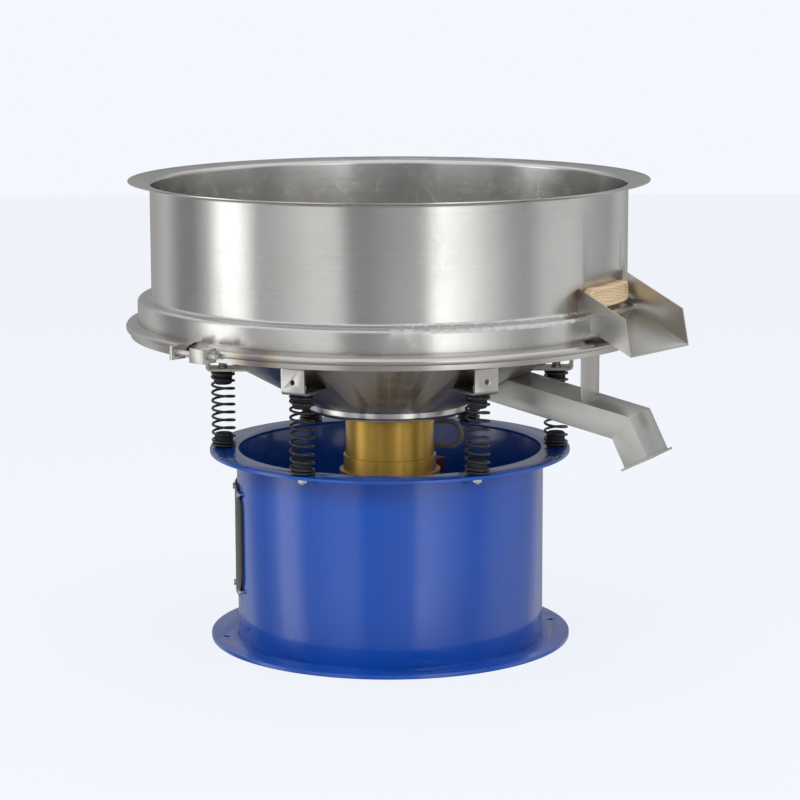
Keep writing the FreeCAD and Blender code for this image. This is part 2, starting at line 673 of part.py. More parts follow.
def wire_heights():
    """Heights of the wire's centre line above the spring's seat: closed ends, even open turns."""
    turns, wire = D.spring_turns.number, D.spring_wire.number
    steps = round(turns * SPRING_STEPS)
    closed_pitch = wire + D.spring_end_gap.number

    def openness(turn_number):
        from_end = min(turn_number, turns - turn_number)
        share = min(max((from_end - CLOSED_TURNS) / OPENING_TURNS, 0), 1)
        return (1 - math.cos(math.pi * share)) / 2

    shares = [openness((i + 0.5) / SPRING_STEPS) for i in range(steps)]
    climb = D.spring_height.number - wire - closed_pitch * steps / SPRING_STEPS
    extra = climb / sum(shares)
    heights = [wire / 2]
    for share in shares:
        heights.append(heights[-1] + closed_pitch / SPRING_STEPS + extra * share)
    return heights


def flat_sided(centre, along, diameter):
    """A wire's section with flats round it, square to its direction at a point."""
    facing = FreeCAD.Rotation(FreeCAD.Vector(0, 0, 1), along)
    angles = [2 * math.pi * k / WIRE_SIDES for k in range(WIRE_SIDES)]
    corners = [centre + facing.multVec(FreeCAD.Vector(math.cos(a), math.sin(a), 0)) * (diameter / 2)
               for a in angles]
    return Part.makePolygon(corners + corners[:1])


def spring_solid():
    """One coil spring about its own axis, standing on z = 0, of straight lengths mitred to each other."""
    step = 2 * math.pi / SPRING_STEPS
    mean = (D.spring_od.number - D.spring_wire.number) / 2
    radius = 2 * mean / (1 + math.cos(step / 2))        # as far outside the round coil as inside it
    points = [FreeCAD.Vector(radius * math.cos(step * i), radius * math.sin(step * i), height)
              for i, height in enumerate(wire_heights())]
    section = flat_sided(points[0], points[1] - points[0], D.spring_wire.number)
    return Part.makePolygon(points).makePipeShell([section], True, False, MITRED)


def build_springs():
    coil = spring_solid()
    for index in range(COUNTS.springs):
        heading = Dim.of(360 * index / COUNTS.springs)
        spring = doc.addObject("Part::Feature", f"spring_{index + 1}")
        spring.Shape = coil
        put(spring, D.spring_circle / 2 * cosine(heading), D.spring_circle / 2 * sine(heading), D.base_height)
        part(spring)

    spring_bore = D.spring_od - 2 * D.spring_wire
    plug_radius = spring_bore / 2 - D.plug_clearance
    stud_radius = D.stud_d / 2
    centre = D.spring_circle / 2
    nut_total = D.nut_height + D.nut_washer_thickness
    for side, seat, plate, up in (("lower", D.base_height, D.top_flange_thickness, 1),
                                  ("upper", D.bracket_z, D.bracket_thickness, -1)):
        plug = turned(f"{side}_plug_1", ((stud_radius, seat), (plug_radius, seat),
                                         (plug_radius, seat + up * (D.plug_length - D.plug_chamfer)),
                                         (plug_radius - D.plug_chamfer, seat + up * D.plug_length),
                                         (0, seat + up * D.plug_length), (0, seat + up * D.stud_embed),
                                         (stud_radius, seat + up * D.stud_embed)))
        put(plug, centre)
        part(ring_of(f"{side}_plugs", held(f"{side}_plug_seated", plug), COUNTS.springs))

        outer_end = seat - up * (plate + nut_total + D.stud_tail)
        inner_end = seat + up * D.stud_embed
        low, high = (outer_end, inner_end) if up > 0 else (inner_end, outer_end)
        stud = cylinder(f"{side}_stud_1", D.stud_d, high - low, x=centre, z=low)
        part(ring_of(f"{side}_studs", held(f"{side}_stud_seated", stud), COUNTS.springs))

        washer_low = seat - up * plate - (D.nut_washer_thickness if up > 0 else Dim.of(0))
        nut_low = seat - up * plate - (nut_total if up > 0 else -D.nut_washer_thickness)
        face = cylinder(f"{side}_nut_face", D.nut_washer_d, D.nut_washer_thickness, x=centre, z=washer_low)
        hexa = hexagon(f"{side}_nut_hexagon", D.nut_width, D.nut_height, x=centre, z=nut_low)
        blank = combine("MultiFuse", f"{side}_nut_blank", (face, hexa))
        low = seat - plate - nut_total if up > 0 else seat + plate
        nut = bored(f"{side}_nut_1", blank, D.stud_d + 2 * D.thread_gap, low, nut_total, centre)
        part(ring_of(f"{side}_nuts", nut, COUNTS.springs))


def held(name, thing):
    """A one-piece compound, so that copies keep the piece's own place."""
    group = doc.addObject("Part::Compound", name)
    group.Links = [thing]
    return group


def build_brackets():
    outer = D.spring_circle / 2 + D.bracket_reach
    inner = pan_radius(D.bracket_z)
    top = D.bracket_z + D.bracket_lip
    for index in range(COUNTS.springs):
        body = new_body(f"spring_bracket_{index + 1}")

        def draw(sketch):
            outline(sketch, ((inner, D.bracket_z), (outer, D.bracket_z, D.bracket_bend), (outer, top),
                             (outer - D.bracket_thickness, top),
                             (outer - D.bracket_thickness, D.bracket_z + D.bracket_thickness,
                              D.bracket_bend - D.bracket_thickness),
                             (inner, D.bracket_z + D.bracket_thickness)))

        extrude(body, "Pad", "bar", "XZ", 0, draw, D.bracket_width, both_ways=True)
        groove(body, "weld_seat", pan_inside())
        extrude(body, "Pocket", "lip_hole", "YZ", outer,
                lambda sketch: add_circle(sketch, 0, D.bracket_z + D.bracket_lip / 2, D.bracket_hole),
                D.bracket_thickness)
        extrude(body, "Pocket", "stud_hole", "XY", D.bracket_z + D.bracket_thickness,
                lambda sketch: add_circle(sketch, D.spring_circle / 2, 0, D.stud_d + 2 * D.stud_clearance),
                D.bracket_thickness)
        part(turn(body, Dim.of(360 * index / COUNTS.springs)))


def pan_inside():
    """Everything above the pan's underside, as a profile to cut welded pieces to the pan."""
    return ((0, D.pan_foot_z), (D.seat_radius, D.pan_foot_z),
            (pan_radius(D.clamp_seat_z), D.clamp_seat_z), (D.clamp_radius, D.clamp_seat_z),
            (D.clamp_radius, D.tub_z), (0, D.tub_z))


# ---------------------------------------------------------------- lower pan and what it carries

def build_pan():
    knuckle = pan_radius(D.clamp_seat_z)
    pan = turned("lower_pan", (
        (D.seat_radius, D.pan_foot_z), (knuckle, D.clamp_seat_z, D.pan_knuckle),
        (D.clamp_radius, D.clamp_seat_z), (D.clamp_radius, D.clamp_seat_z + D.pan_sheet),
        (pan_radius(D.clamp_seat_z + D.pan_sheet - D.pan_skin), D.clamp_seat_z + D.pan_sheet,
         D.pan_knuckle - D.pan_sheet),
        (D.seat_radius, D.pan_foot_z + D.pan_skin)), D.duct_heading)
    extrude(pan, "Pocket", "outlet_hole", "XZ", 0,
            lambda sketch: outline(sketch, duct_hole()), D.duct_width - 2 * D.duct_sheet, both_ways=True)
    part(pan)

    seat = turned("motor_seat", (
        (D.seat_bore / 2, D.seat_bottom_z), (D.seat_radius, D.seat_bottom_z, D.seat_corner),
        (D.seat_radius, D.seat_top_z), (D.seat_radius - D.seat_wall, D.seat_top_z),
        (D.seat_radius - D.seat_wall, D.seat_floor_z),
        (D.seat_bore / 2, D.seat_floor_z)))
    drill(seat, "bolt_holes", D.motor_bolt_circle / 2, Dim.of(0), D.stud_d + 2 * D.stud_clearance,
          D.seat_floor_z, D.seat_plate, COUNTS.motor_bolts)
    part(seat)

    dome = turned("weight_cover", (
        (D.dome_radius - D.dome_sheet, D.seat_floor_z), (D.dome_radius + D.dome_foot, D.seat_floor_z),
        (D.dome_radius + D.dome_foot, D.seat_floor_z + D.dome_sheet),
        (D.dome_radius, D.seat_floor_z + D.dome_sheet), (D.dome_radius, D.dome_top_z - D.dome_bend),
        (D.dome_radius - D.dome_bend, D.dome_top_z), (0, D.dome_top_z), (0, D.dome_top_z - D.dome_sheet),
        (D.dome_radius - D.dome_bend, D.dome_top_z - D.dome_sheet),
        (D.dome_radius - D.dome_sheet, D.dome_top_z - D.dome_bend)))
    part(dome)


# ---------------------------------------------------------------- lower outlet

bend_half = (D.spout_slope - D.duct_slope) / 2
bend_mean = (D.spout_slope + D.duct_slope) / 2
duct_fall = tangent(D.duct_slope)


def duct_top(radius):
    """Height of the outlet's straight top at a radius."""
    return D.duct_datum_z - (radius - D.duct_datum_radius) * duct_fall


def duct_start(radius, depth):
    """A point of the straight run, a depth below its top."""
    return radius - depth * sine(D.duct_slope), duct_top(radius) - depth * cosine(D.duct_slope)


def duct_bend(depth):
    """A corner of the mitred bend, a depth below its top."""
    reach = depth / cosine(bend_half)
    return (D.duct_bend_radius - reach * sine(bend_mean),
            duct_top(D.duct_bend_radius) - reach * cosine(bend_mean))


def spout_point(length, depth):
    """A point of the spout, a length past the bend and a depth below its top."""
    return (D.duct_bend_radius + length * cosine(D.spout_slope) - depth * sine(D.spout_slope),
            duct_top(D.duct_bend_radius) - length * sine(D.spout_slope) - depth * cosine(D.spout_slope))


def duct_profile(inset, overrun):
    """Side view of the outlet, drawn in from its outside by an inset and past its mouth by an overrun."""
    low = D.duct_height - inset
    return (duct_start(D.duct_start_radius, inset), duct_bend(inset),
            spout_point(D.spout_length + overrun, inset), spout_point(D.spout_length + overrun, low),
            duct_bend(low), duct_start(D.duct_start_radius, low))


def duct_hole():
    """Side view of the hole in the pan that the outlet covers."""
    low = D.duct_height - D.duct_sheet
    return (duct_start(D.duct_start_radius, D.duct_sheet), duct_start(D.strap_radius, D.duct_sheet),
            duct_start(D.strap_radius, low), duct_start(D.duct_start_radius, low))


def build_outlet():
    duct = new_body("outlet_duct")
    extrude(duct, "Pad", "outside", "XZ", 0,
            lambda sketch: outline(sketch, duct_profile(Dim.of(0), Dim.of(0))), D.duct_width, both_ways=True)
    extrude(duct, "Pocket", "inside", "XZ", 0,
            lambda sketch: outline(sketch, duct_profile(D.duct_sheet, D.duct_sheet)),
            D.duct_width - 2 * D.duct_sheet, both_ways=True)
    groove(duct, "pan_cut", pan_inside())
    part(turn(duct, D.duct_heading))

    lip = new_body("outlet_lip")
    mouth = D.spout_length
    lip_outline = (spout_point(mouth - D.lip_thickness, -D.lip_width), spout_point(mouth, -D.lip_width),
                   spout_point(mouth, D.duct_height + D.lip_width),
                   spout_point(mouth - D.lip_thickness, D.duct_height + D.lip_width))
    lip_hole = (spout_point(mouth - 2 * D.lip_thickness, Dim.of(0)),
                spout_point(mouth + D.lip_thickness, Dim.of(0)),
                spout_point(mouth + D.lip_thickness, D.duct_height),
                spout_point(mouth - 2 * D.lip_thickness, D.duct_height))
    extrude(lip, "Pad", "frame", "XZ", 0, lambda sketch: outline(sketch, lip_outline),
            D.duct_width + 2 * D.lip_width, both_ways=True)
    extrude(lip, "Pocket", "spout_hole", "XZ", 0, lambda sketch: outline(sketch, lip_hole),
            D.duct_width, both_ways=True)
    part(turn(lip, D.duct_heading))

    strap = new_body("outlet_strap")
    inner, outer = D.strap_radius, D.strap_radius + D.strap_thickness
    extrude(strap, "Pad", "plate", "XZ", 0,
            lambda sketch: outline(sketch, ((inner, duct_top(inner)), (outer, duct_top(outer)),
                                            (outer, D.clamp_seat_z), (inner, D.clamp_seat_z))),
            D.strap_width, both_ways=True)
    part(turn(strap, D.duct_heading))


# ---------------------------------------------------------------- screen, seals and tub

def build_screen():
    inner = D.clamp_radius - D.seal_width
    part(tube("lower_seal", D.clamp_radius, inner, D.lower_seal_z, D.seal_thickness))
    part(tube("upper_seal", D.clamp_radius, inner, D.upper_seal_z, D.seal_thickness))
    ring_inner = D.clamp_radius - D.screen_ring_width
    part(tube("screen_ring", D.clamp_radius, ring_inner, D.screen_ring_z, D.screen_ring_height))

    cross = new_body("crossed_bars")
    half = D.screen_bar_width / 2
    reach = ring_inner
    draw_cross = ((half, half), (reach, half), (reach, -half), (half, -half), (half, -reach),
                  (-half, -reach), (-half, -half), (-reach, -half), (-reach, half), (-half, half),
                  (-half, reach), (half, reach))
    extrude(cross, "Pad", "bars", "XY", D.mesh_z - D.screen_bar_height,
            lambda sketch: outline(sketch, draw_cross), D.screen_bar_height)
    blank = tube("screen_cross_trim", ring_inner + D.screen_ring_width, ring_inner,
                 D.screen_ring_z, D.screen_ring_height)
    part(combine("Cut", "screen_cross", (cross, blank)))

    part(cylinder("screen_mesh", 2 * (D.clamp_radius - D.mesh_inset), D.mesh_thickness, z=D.mesh_z))


def tub_outside():
    """The tub's outer surface and everything within it, to cut the chute to the tub."""
    return ((0, D.tub_z), (D.collar_radius, D.tub_z), (D.collar_radius, D.shoulder_z, D.shoulder_bend),
            (D.wall_radius, D.shoulder_z + D.shoulder_rise, D.shoulder_bend - D.tub_sheet),
            (D.wall_radius, D.rim_corner_z), (0, D.rim_corner_z))


def build_tub():
    sheet_in = D.tub_sheet
    tub = turned("tub_blank", (
        (D.collar_radius, D.tub_z), (D.collar_radius, D.shoulder_z, D.shoulder_bend),
        (D.wall_radius, D.shoulder_z + D.shoulder_rise, D.shoulder_bend - sheet_in),
        (D.wall_radius, D.rim_corner_z, D.rim_bend), (D.rim_radius, D.rim_corner_z + D.rim_rise),
        (D.rim_radius, D.rim_corner_z + D.rim_rise + sheet_in),
        (D.wall_radius - sheet_in, D.rim_corner_z + sheet_in, D.rim_bend + sheet_in),
        (D.wall_radius - sheet_in, D.shoulder_z + D.shoulder_rise - sheet_in, D.shoulder_bend),
        (D.collar_radius - sheet_in, D.shoulder_z - sheet_in, D.shoulder_bend - sheet_in),
        (D.collar_radius - sheet_in, D.tub_z)))
    part(combine("Cut", "tub", (tub, mouth_window("mouth", Dim.of(0)))))
    part(tube("tub_flange", D.clamp_radius, D.clamp_radius - D.tub_flange_width, D.tub_flange_z,
              D.tub_flange_thickness))


# ---------------------------------------------------------------- oversize chute and its stopper

chute_fall = tangent(D.chute_slope)


def chute_rim(along):
    """Height of the chute's upper edge at a distance along its heading."""
    return D.chute_top_z - (along - D.chute_datum_radius) * chute_fall


def build_chute():
    chute = new_body("oversize_chute")
    top_end = D.chute_length - D.chute_setback
    start, end = D.chute_start_radius, D.chute_length
    side_view = ((start, chute_rim(start)), (top_end, chute_rim(top_end)),
                 (end, chute_rim(end) - D.chute_depth), (start, chute_rim(start) - D.chute_depth))
    floor = D.chute_depth - D.chute_sheet / cosine(D.chute_slope)
    past_end = end + D.chute_setback
    inner_view = ((start, chute_rim(start) + D.chute_sheet), (past_end, chute_rim(past_end) + D.chute_sheet),
                  (past_end, chute_rim(past_end) - floor), (start, chute_rim(start) - floor))
    extrude(chute, "Pad", "outside", "XZ", -D.chute_offset, lambda sketch: outline(sketch, side_view),
            D.chute_width, both_ways=True)
    extrude(chute, "Pocket", "inside", "XZ", -D.chute_offset, lambda sketch: outline(sketch, inner_view),
            D.chute_width - 2 * D.chute_sheet, both_ways=True)
    groove(chute, "tub_cut", tub_outside())
    part(turn(chute, D.chute_heading))


def mouth_window(name, border):
    """A prism with rounded corners that outlines the mouth, along the chute's heading."""
    body = new_body(name)
    half_width = D.mouth_width / 2 + border
    left, right = D.chute_offset - half_width, D.chute_offset + half_width
    low, high = D.mouth_bottom_z - border, D.mouth_bottom_z + D.mouth_height + border
    corner = D.mouth_corner + border
    corners = tuple((y, z, corner) for y, z in ((left, low), (right, low), (right, high), (left, high)))
    extrude(body, "Pad", "prism", "YZ", 0, lambda sketch: outline(sketch, corners),
            D.wall_radius + 3 * D.stopper_face)
    return turn(body, D.chute_heading)


def build_stopper():
    def layer(name, inner, outer, border):
        low = D.mouth_bottom_z - D.mouth_height
        shell = tube(f"{name}_shell", outer, inner, low, 3 * D.mouth_height)
        return combine("Common", name, (shell, mouth_window(f"{name}_window", border)))

    seat = D.wall_radius + D.stopper_play
    face = layer("stopper_face", seat, seat + D.stopper_face, D.stopper_border)
    tongue = layer("stopper_tongue", seat - D.stopper_tongue, seat, -D.stopper_play)
    dish = layer("stopper_dish", seat + D.stopper_face - D.stopper_dish, seat + 2 * D.stopper_face,
                 D.stopper_border - D.stopper_dish_border)
    blank = combine("MultiFuse", "stopper_blank", (face, tongue))
    part(combine("Cut", "stopper", (blank, dish)))


# ---------------------------------------------------------------- clamp band

def build_clamp():
    steel, play = D.band_sheet, D.band_clearance
    lip_top = D.clamp_seat_z - play
    nose, foot, fold = D.band_nose_radius, D.band_foot_radius, D.band_groove_z + steel
    band = turned("clamp_band_ring", (
        (D.collar_radius + play, D.band_top_z - steel), (D.collar_radius + play, D.band_top_z),
        (nose - steel, D.band_nose_z + 2 * steel), (nose, D.band_nose_z), (nose - steel / 2, fold),
        (foot, D.band_groove_z), (foot, lip_top - steel), (D.band_lip_radius, lip_top - steel),
        (D.band_lip_radius, lip_top), (foot - steel, lip_top), (foot - steel, fold),
        (nose - 3 * steel / 2, fold + steel), (nose - steel, D.band_nose_z),
        (nose - 2 * steel, D.band_nose_z + steel), (D.clamp_radius + play, D.tub_z + play)))
    half_gap = D.closure_gap / 2
    centre = D.closure_gap_offset
    below = D.clamp_seat_z - D.lug_height
    gap = ((centre - half_gap, below), (centre + half_gap, below),
           (centre + half_gap, D.shoulder_z), (centre - half_gap, D.shoulder_z))
    opening = new_body("closure_opening")
    extrude(opening, "Pad", "prism", "YZ", 0, lambda sketch: outline(sketch, gap), 2 * D.band_nose_radius)
    part(turn(combine("Cut", "clamp_band", (band, opening)), D.closure_heading))

    bolt_x = D.band_nose_radius + D.clamp_bolt_offset
    top = D.clamp_bolt_z + D.lug_height / 2
    bottom = top - D.lug_height
    lug_face = centre - half_gap
    block_face = centre + half_gap
    for name, low, length, hole in (
            ("clamp_lug", lug_face - D.lug_thickness, D.lug_thickness, D.clamp_bolt_d + 2 * D.clamp_play),
            ("clamp_block", block_face, D.block_length, D.clamp_bolt_d + 2 * D.thread_gap)):
        body = new_body(name)
        view = ((D.band_foot_radius, bottom), (D.band_nose_radius + D.lug_reach, bottom),
                (D.band_nose_radius + D.lug_reach, top), (D.band_foot_radius, top))
        extrude(body, "Pad", "plate", "XZ", -(low + length), lambda sketch: outline(sketch, view), length)
        extrude(body, "Pocket", "bolt_hole", "XZ", -(low + length),
                lambda sketch: add_circle(sketch, bolt_x, D.clamp_bolt_z, hole), length).Reversed = True
        groove(body, "band_seat", ((0, D.pan_foot_z), (D.band_nose_radius, D.pan_foot_z),
                                   (D.band_nose_radius, D.rim_corner_z), (0, D.rim_corner_z)))
        part(turn(body, D.closure_heading))

    head_face = lug_face - D.lug_thickness - D.clamp_play
    tail = block_face + D.block_length + D.clamp_bolt_tail
    shank = cylinder("clamp_bolt_shank", D.clamp_bolt_d, tail - head_face)
    head = hexagon("clamp_bolt_hexagon", D.nut_width, D.clamp_bolt_head, z=-D.clamp_bolt_head)
    bolt = turn(combine("MultiFuse", "clamp_bolt_upright", (shank, head)), Dim.of(-90), (1, 0, 0))
    put(bolt, bolt_x, head_face, D.clamp_bolt_z)
    aimed = doc.addObject("Part::Compound", "clamp_bolt")
    aimed.Links = [bolt]
    part(turn(aimed, D.closure_heading))


# ---------------------------------------------------------------- motor

def bearing(name, bottom):
    """A sealed bearing: two races with the seal set back between them."""
    outer, inner = D.bearing_od / 2 - D.bearing_fit, D.bearing_bore / 2 + D.bearing_fit
    top = bottom + D.motor_crown
    low, high = bottom + D.bearing_recess, top - D.bearing_recess
    part(turned(name, ((inner, bottom), (inner + D.bearing_race, bottom), (inner + D.bearing_race, low),
                       (outer - D.bearing_race, low), (outer - D.bearing_race, bottom), (outer, bottom),
                       (outer, top), (outer - D.bearing_race, top), (outer - D.bearing_race, high),
                       (inner + D.bearing_race, high), (inner + D.bearing_race, top), (inner, top))))


def build_motor():
    crown_z = D.seat_bottom_z - D.motor_crown
    housing = turned("motor_housing", (
        (D.bearing_od / 2, D.seat_bottom_z), (D.motor_od / 2, D.seat_bottom_z),
        (D.motor_od / 2, D.motor_step_z), (D.motor_step_od / 2, D.motor_step_z),
        (D.motor_step_od / 2, D.motor_foot_z + D.motor_foot_height),
        (D.motor_foot_od / 2, D.motor_foot_z + D.motor_foot_height), (D.motor_foot_od / 2, D.motor_foot_z),
        (D.motor_tail_od / 2, D.motor_foot_z), (D.motor_tail_od / 2, D.motor_bottom_z),
        (D.motor_bore / 2, D.motor_bottom_z), (D.motor_bore / 2, crown_z), (D.bearing_od / 2, crown_z)))
    drill(housing, "bolt_holes", D.motor_bolt_circle / 2, Dim.of(0), D.stud_d + 2 * D.thread_gap,
          D.seat_bottom_z, D.motor_bolt_depth + D.thread_gap, COUNTS.motor_bolts)
    drill(housing, "shield_holes", D.shield_screw_circle / 2, Dim.of(0), D.shield_screw_d + 2 * D.thread_gap,
          D.motor_bottom_z + D.shield_screw_depth + D.thread_gap, D.shield_screw_depth + D.thread_gap,
          COUNTS.shield_screws)
    part(housing)

    shield = ring_plate("end_shield", D.motor_tail_od, D.bearing_od, D.shield_z, D.shield_thickness)
    drill(shield, "screw_holes", D.shield_screw_circle / 2, Dim.of(0), D.shield_screw_d + 2 * D.thread_gap,
          D.motor_bottom_z, D.shield_thickness, COUNTS.shield_screws)
    part(shield)
    bearing("upper_bearing", crown_z)
    bearing("lower_bearing", D.shield_z)

    part(tube("stator", D.motor_bore / 2 - D.stator_fit, D.stator_bore / 2, D.stator_z, D.stator_height))

    bolt_reach = D.motor_bolt_depth + D.seat_plate
    shank = cylinder("motor_bolt_shank", D.stud_d, bolt_reach, x=D.motor_bolt_circle / 2,
                     z=D.seat_floor_z - bolt_reach)
    head = hexagon("motor_bolt_hexagon", D.nut_width, D.motor_bolt_head, x=D.motor_bolt_circle / 2,
                   z=D.seat_floor_z)
    part(ring_of("motor_bolts", combine("MultiFuse", "motor_bolt_1", (shank, head)), COUNTS.motor_bolts))

    screw_reach = D.shield_thickness + D.shield_screw_depth
    shank = cylinder("shield_screw_shank", D.shield_screw_d, screw_reach, x=D.shield_screw_circle / 2,
                     z=D.shield_z)
    head = cylinder("shield_screw_cap", D.shield_screw_head, D.shield_screw_d, x=D.shield_screw_circle / 2,
                    z=D.shield_z - D.shield_screw_d)
    part(ring_of("shield_screws", combine("MultiFuse", "shield_screw_1", (shank, head)),
                 COUNTS.shield_screws))


def weight(name, bottom, thickness, heading):
    """An unbalance weight: a hub with a sector, bored for the shaft."""
    hub = cylinder(f"{name}_hub", 2 * D.hub_radius, thickness, z=bottom)
    sector = doc.addObject("Part::Cylinder", f"{name}_sector")
    put(bind(sector, Radius=D.weight_radius, Height=thickness, Angle=D.weight_angle), z=bottom)
    turn(sector, heading - D.weight_angle / 2)
    blank = combine("MultiFuse", f"{name}_blank", (hub, sector))
    part(bored(name, blank, D.bearing_bore + 2 * D.weight_bore_play, bottom, thickness))


def build_rotor():
    radius = D.bearing_bore / 2
    part(turned("shaft", ((0, D.shaft_bottom_z), (radius - D.shaft_chamfer, D.shaft_bottom_z),
                          (radius, D.shaft_bottom_z + D.shaft_chamfer),
                          (radius, D.shaft_top_z - D.shaft_chamfer),
                          (radius - D.shaft_chamfer, D.shaft_top_z), (0, D.shaft_top_z))))
    part(tube("rotor_core", D.stator_bore / 2 - D.air_gap, radius, D.stator_z, D.stator_height))
    weight("upper_weight", D.upper_weight_z, D.upper_weight_thickness, Dim.of(0))
    weight("lower_weight", D.lower_weight_z, D.lower_weight_thickness, Dim.of(0))
    weight("adjust_weight", D.adjust_weight_z, D.adjust_weight_thickness, Dim.of(0))
    part(tube("shaft_nut", D.shaft_nut_od / 2, radius + D.thread_gap, D.shaft_nut_z, D.shaft_nut_height))


# ---------------------------------------------------------------- terminal box and conduit

def build_box():
    inner = D.motor_tail_od / 2
    outer = D.motor_step_od / 2 + D.box_radial
    half = D.box_width / 2
    box = new_body("terminal_box")
    corners = ((inner, -half), (outer, -half, D.box_corner), (outer, half, D.box_corner), (inner, half))
    wall = D.box_wall
    room = ((D.motor_foot_od / 2 + wall, wall - half), (outer - wall, wall - half),
            (outer - wall, half - wall), (D.motor_foot_od / 2 + wall, half - wall))
    extrude(box, "Pad", "block", "XY", D.box_z, lambda sketch: outline(sketch, corners), D.box_height)
    top = D.box_z + D.box_height
    extrude(box, "Pocket", "room", "XY", top, lambda sketch: outline(sketch, room), D.box_height - wall)
    groove(box, "barrel_seat", ((0, D.base_flange_thickness), (inner, D.base_flange_thickness),
                                (inner, D.motor_foot_z), (D.motor_foot_od / 2, D.motor_foot_z),
                                (D.motor_foot_od / 2, D.motor_foot_z + D.motor_foot_height),
                                (D.motor_step_od / 2, D.motor_foot_z + D.motor_foot_height),
                                (D.motor_step_od / 2, D.seat_bottom_z), (0, D.seat_bottom_z)))
    part(turn(box, D.box_heading))

    lid = new_body("terminal_lid")
    inner = D.motor_step_od / 2
    lid_corners = ((inner, -half), (outer, -half, D.box_corner), (outer, half, D.box_corner), (inner, half))
    extrude(lid, "Pad", "plate", "XY", top, lambda sketch: outline(sketch, lid_corners), D.lid_thickness)
    gland_at = D.motor_step_od / 2 + D.box_radial / 2
    extrude(lid, "Pocket", "cable_hole", "XY", top + D.lid_thickness,
            lambda sketch: add_circle(sketch, gland_at, 0, D.conduit_od), D.lid_thickness)
    groove(lid, "barrel_seat", ((0, D.base_flange_thickness), (inner, D.base_flange_thickness),
                                (inner, D.seat_bottom_z), (0, D.seat_bottom_z)))
    part(turn(lid, D.box_heading))


ARC_SHARE = 0.45           # of the shorter run beside a corner


def route_wire(points):
    """Straight runs joined by tangent arcs, each arc as large as its runs allow."""
    edges, start = [], points[0]
    for before, corner, after in zip(points, points[1:], points[2:]):
        towards, away = before - corner, after - corner
        half = towards.getAngle(away) / 2
        radius = ARC_SHARE * min(towards.Length, away.Length) * math.tan(half)
        first, last, centre = bend_points(before, corner, after, radius)
        middle = centre + (corner - centre).normalize() * radius
        edges += [Part.LineSegment(start, first).toShape(), Part.Arc(first, middle, last).toShape()]
        start = last
    edges.append(Part.LineSegment(start, points[-1]).toShape())
    return Part.Wire(edges)


def build_conduit():
    gland_at = D.motor_step_od / 2 + D.box_radial / 2
    low_gland = cylinder("lid_gland", D.gland_od, D.gland_length, x=gland_at, z=D.lid_top_z)
    low_bore = cylinder("lid_gland_bore", D.conduit_od, D.gland_length, x=gland_at, z=D.lid_top_z)
    high_gland = radial_pin("barrel_gland", D.gland_od, D.motor_od / 2, D.gland_length)
    high_bore = radial_pin("barrel_gland_bore", D.conduit_od, D.motor_od / 2, D.gland_length)
    glands = []
    for name, body, bore, heading, height in (
            ("low", low_gland, low_bore, D.box_heading, Dim.of(0)),
            ("high", high_gland, high_bore, D.upper_gland_heading, D.upper_gland_z)):
        aimed = held(f"{name}_gland", combine("Cut", f"{name}_gland_cut", (body, bore)))
        glands.append(turn(put(aimed, z=height), heading))
    group = doc.addObject("Part::Compound", "conduit_glands")
    group.Links = glands
    part(group)

    def spot(radius, heading, height):
        return FreeCAD.Vector(radius.number * cosine(heading).number, radius.number * sine(heading).number,
                              height.number)
    barrel, bend_z = D.motor_od / 2, D.lid_top_z + D.conduit_rise
    points = [spot(gland_at, D.box_heading, D.lid_top_z), spot(gland_at, D.box_heading, bend_z),
              spot(D.conduit_radius, D.conduit_heading, bend_z),
              spot(D.conduit_radius, D.conduit_heading, D.upper_gland_z),
              spot(barrel + D.conduit_reach, D.upper_gland_heading, D.upper_gland_z),
              spot(barrel + D.conduit_end_gap, D.upper_gland_heading, D.upper_gland_z)]
    section = flat_sided(points[0], points[1] - points[0], D.conduit_od.number)
    conduit = doc.addObject("Part::Feature", "conduit")
    conduit.Shape = route_wire(points).makePipeShell([section], True, False)
    part(conduit)


for build in (build_base, build_springs, build_brackets, build_pan, build_outlet, build_screen, build_tub,
              build_chute, build_stopper, build_clamp, build_motor, build_rotor, build_box, build_conduit):
    build()

doc.recompute()
faults = [f"{thing.Name}: {' '.join(thing.State)}" for thing in doc.Objects
          if "Invalid" in thing.State or "Error" in thing.State]
faults += [f"{thing.Label}: no valid shape" for thing in PARTS
           if thing.Shape.isNull() or not thing.Shape.isValid()]
if faults:
    raise RuntimeError("; ".join(faults))

os.makedirs("parts", exist_ok=True)
for thing in PARTS:
    thing.Shape.exportStep(f"parts/{thing.Label}.step")
print(len(PARTS), "parts written")
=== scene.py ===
import json
import math

import bmesh
import bpy
from mathutils import Matrix, Vector


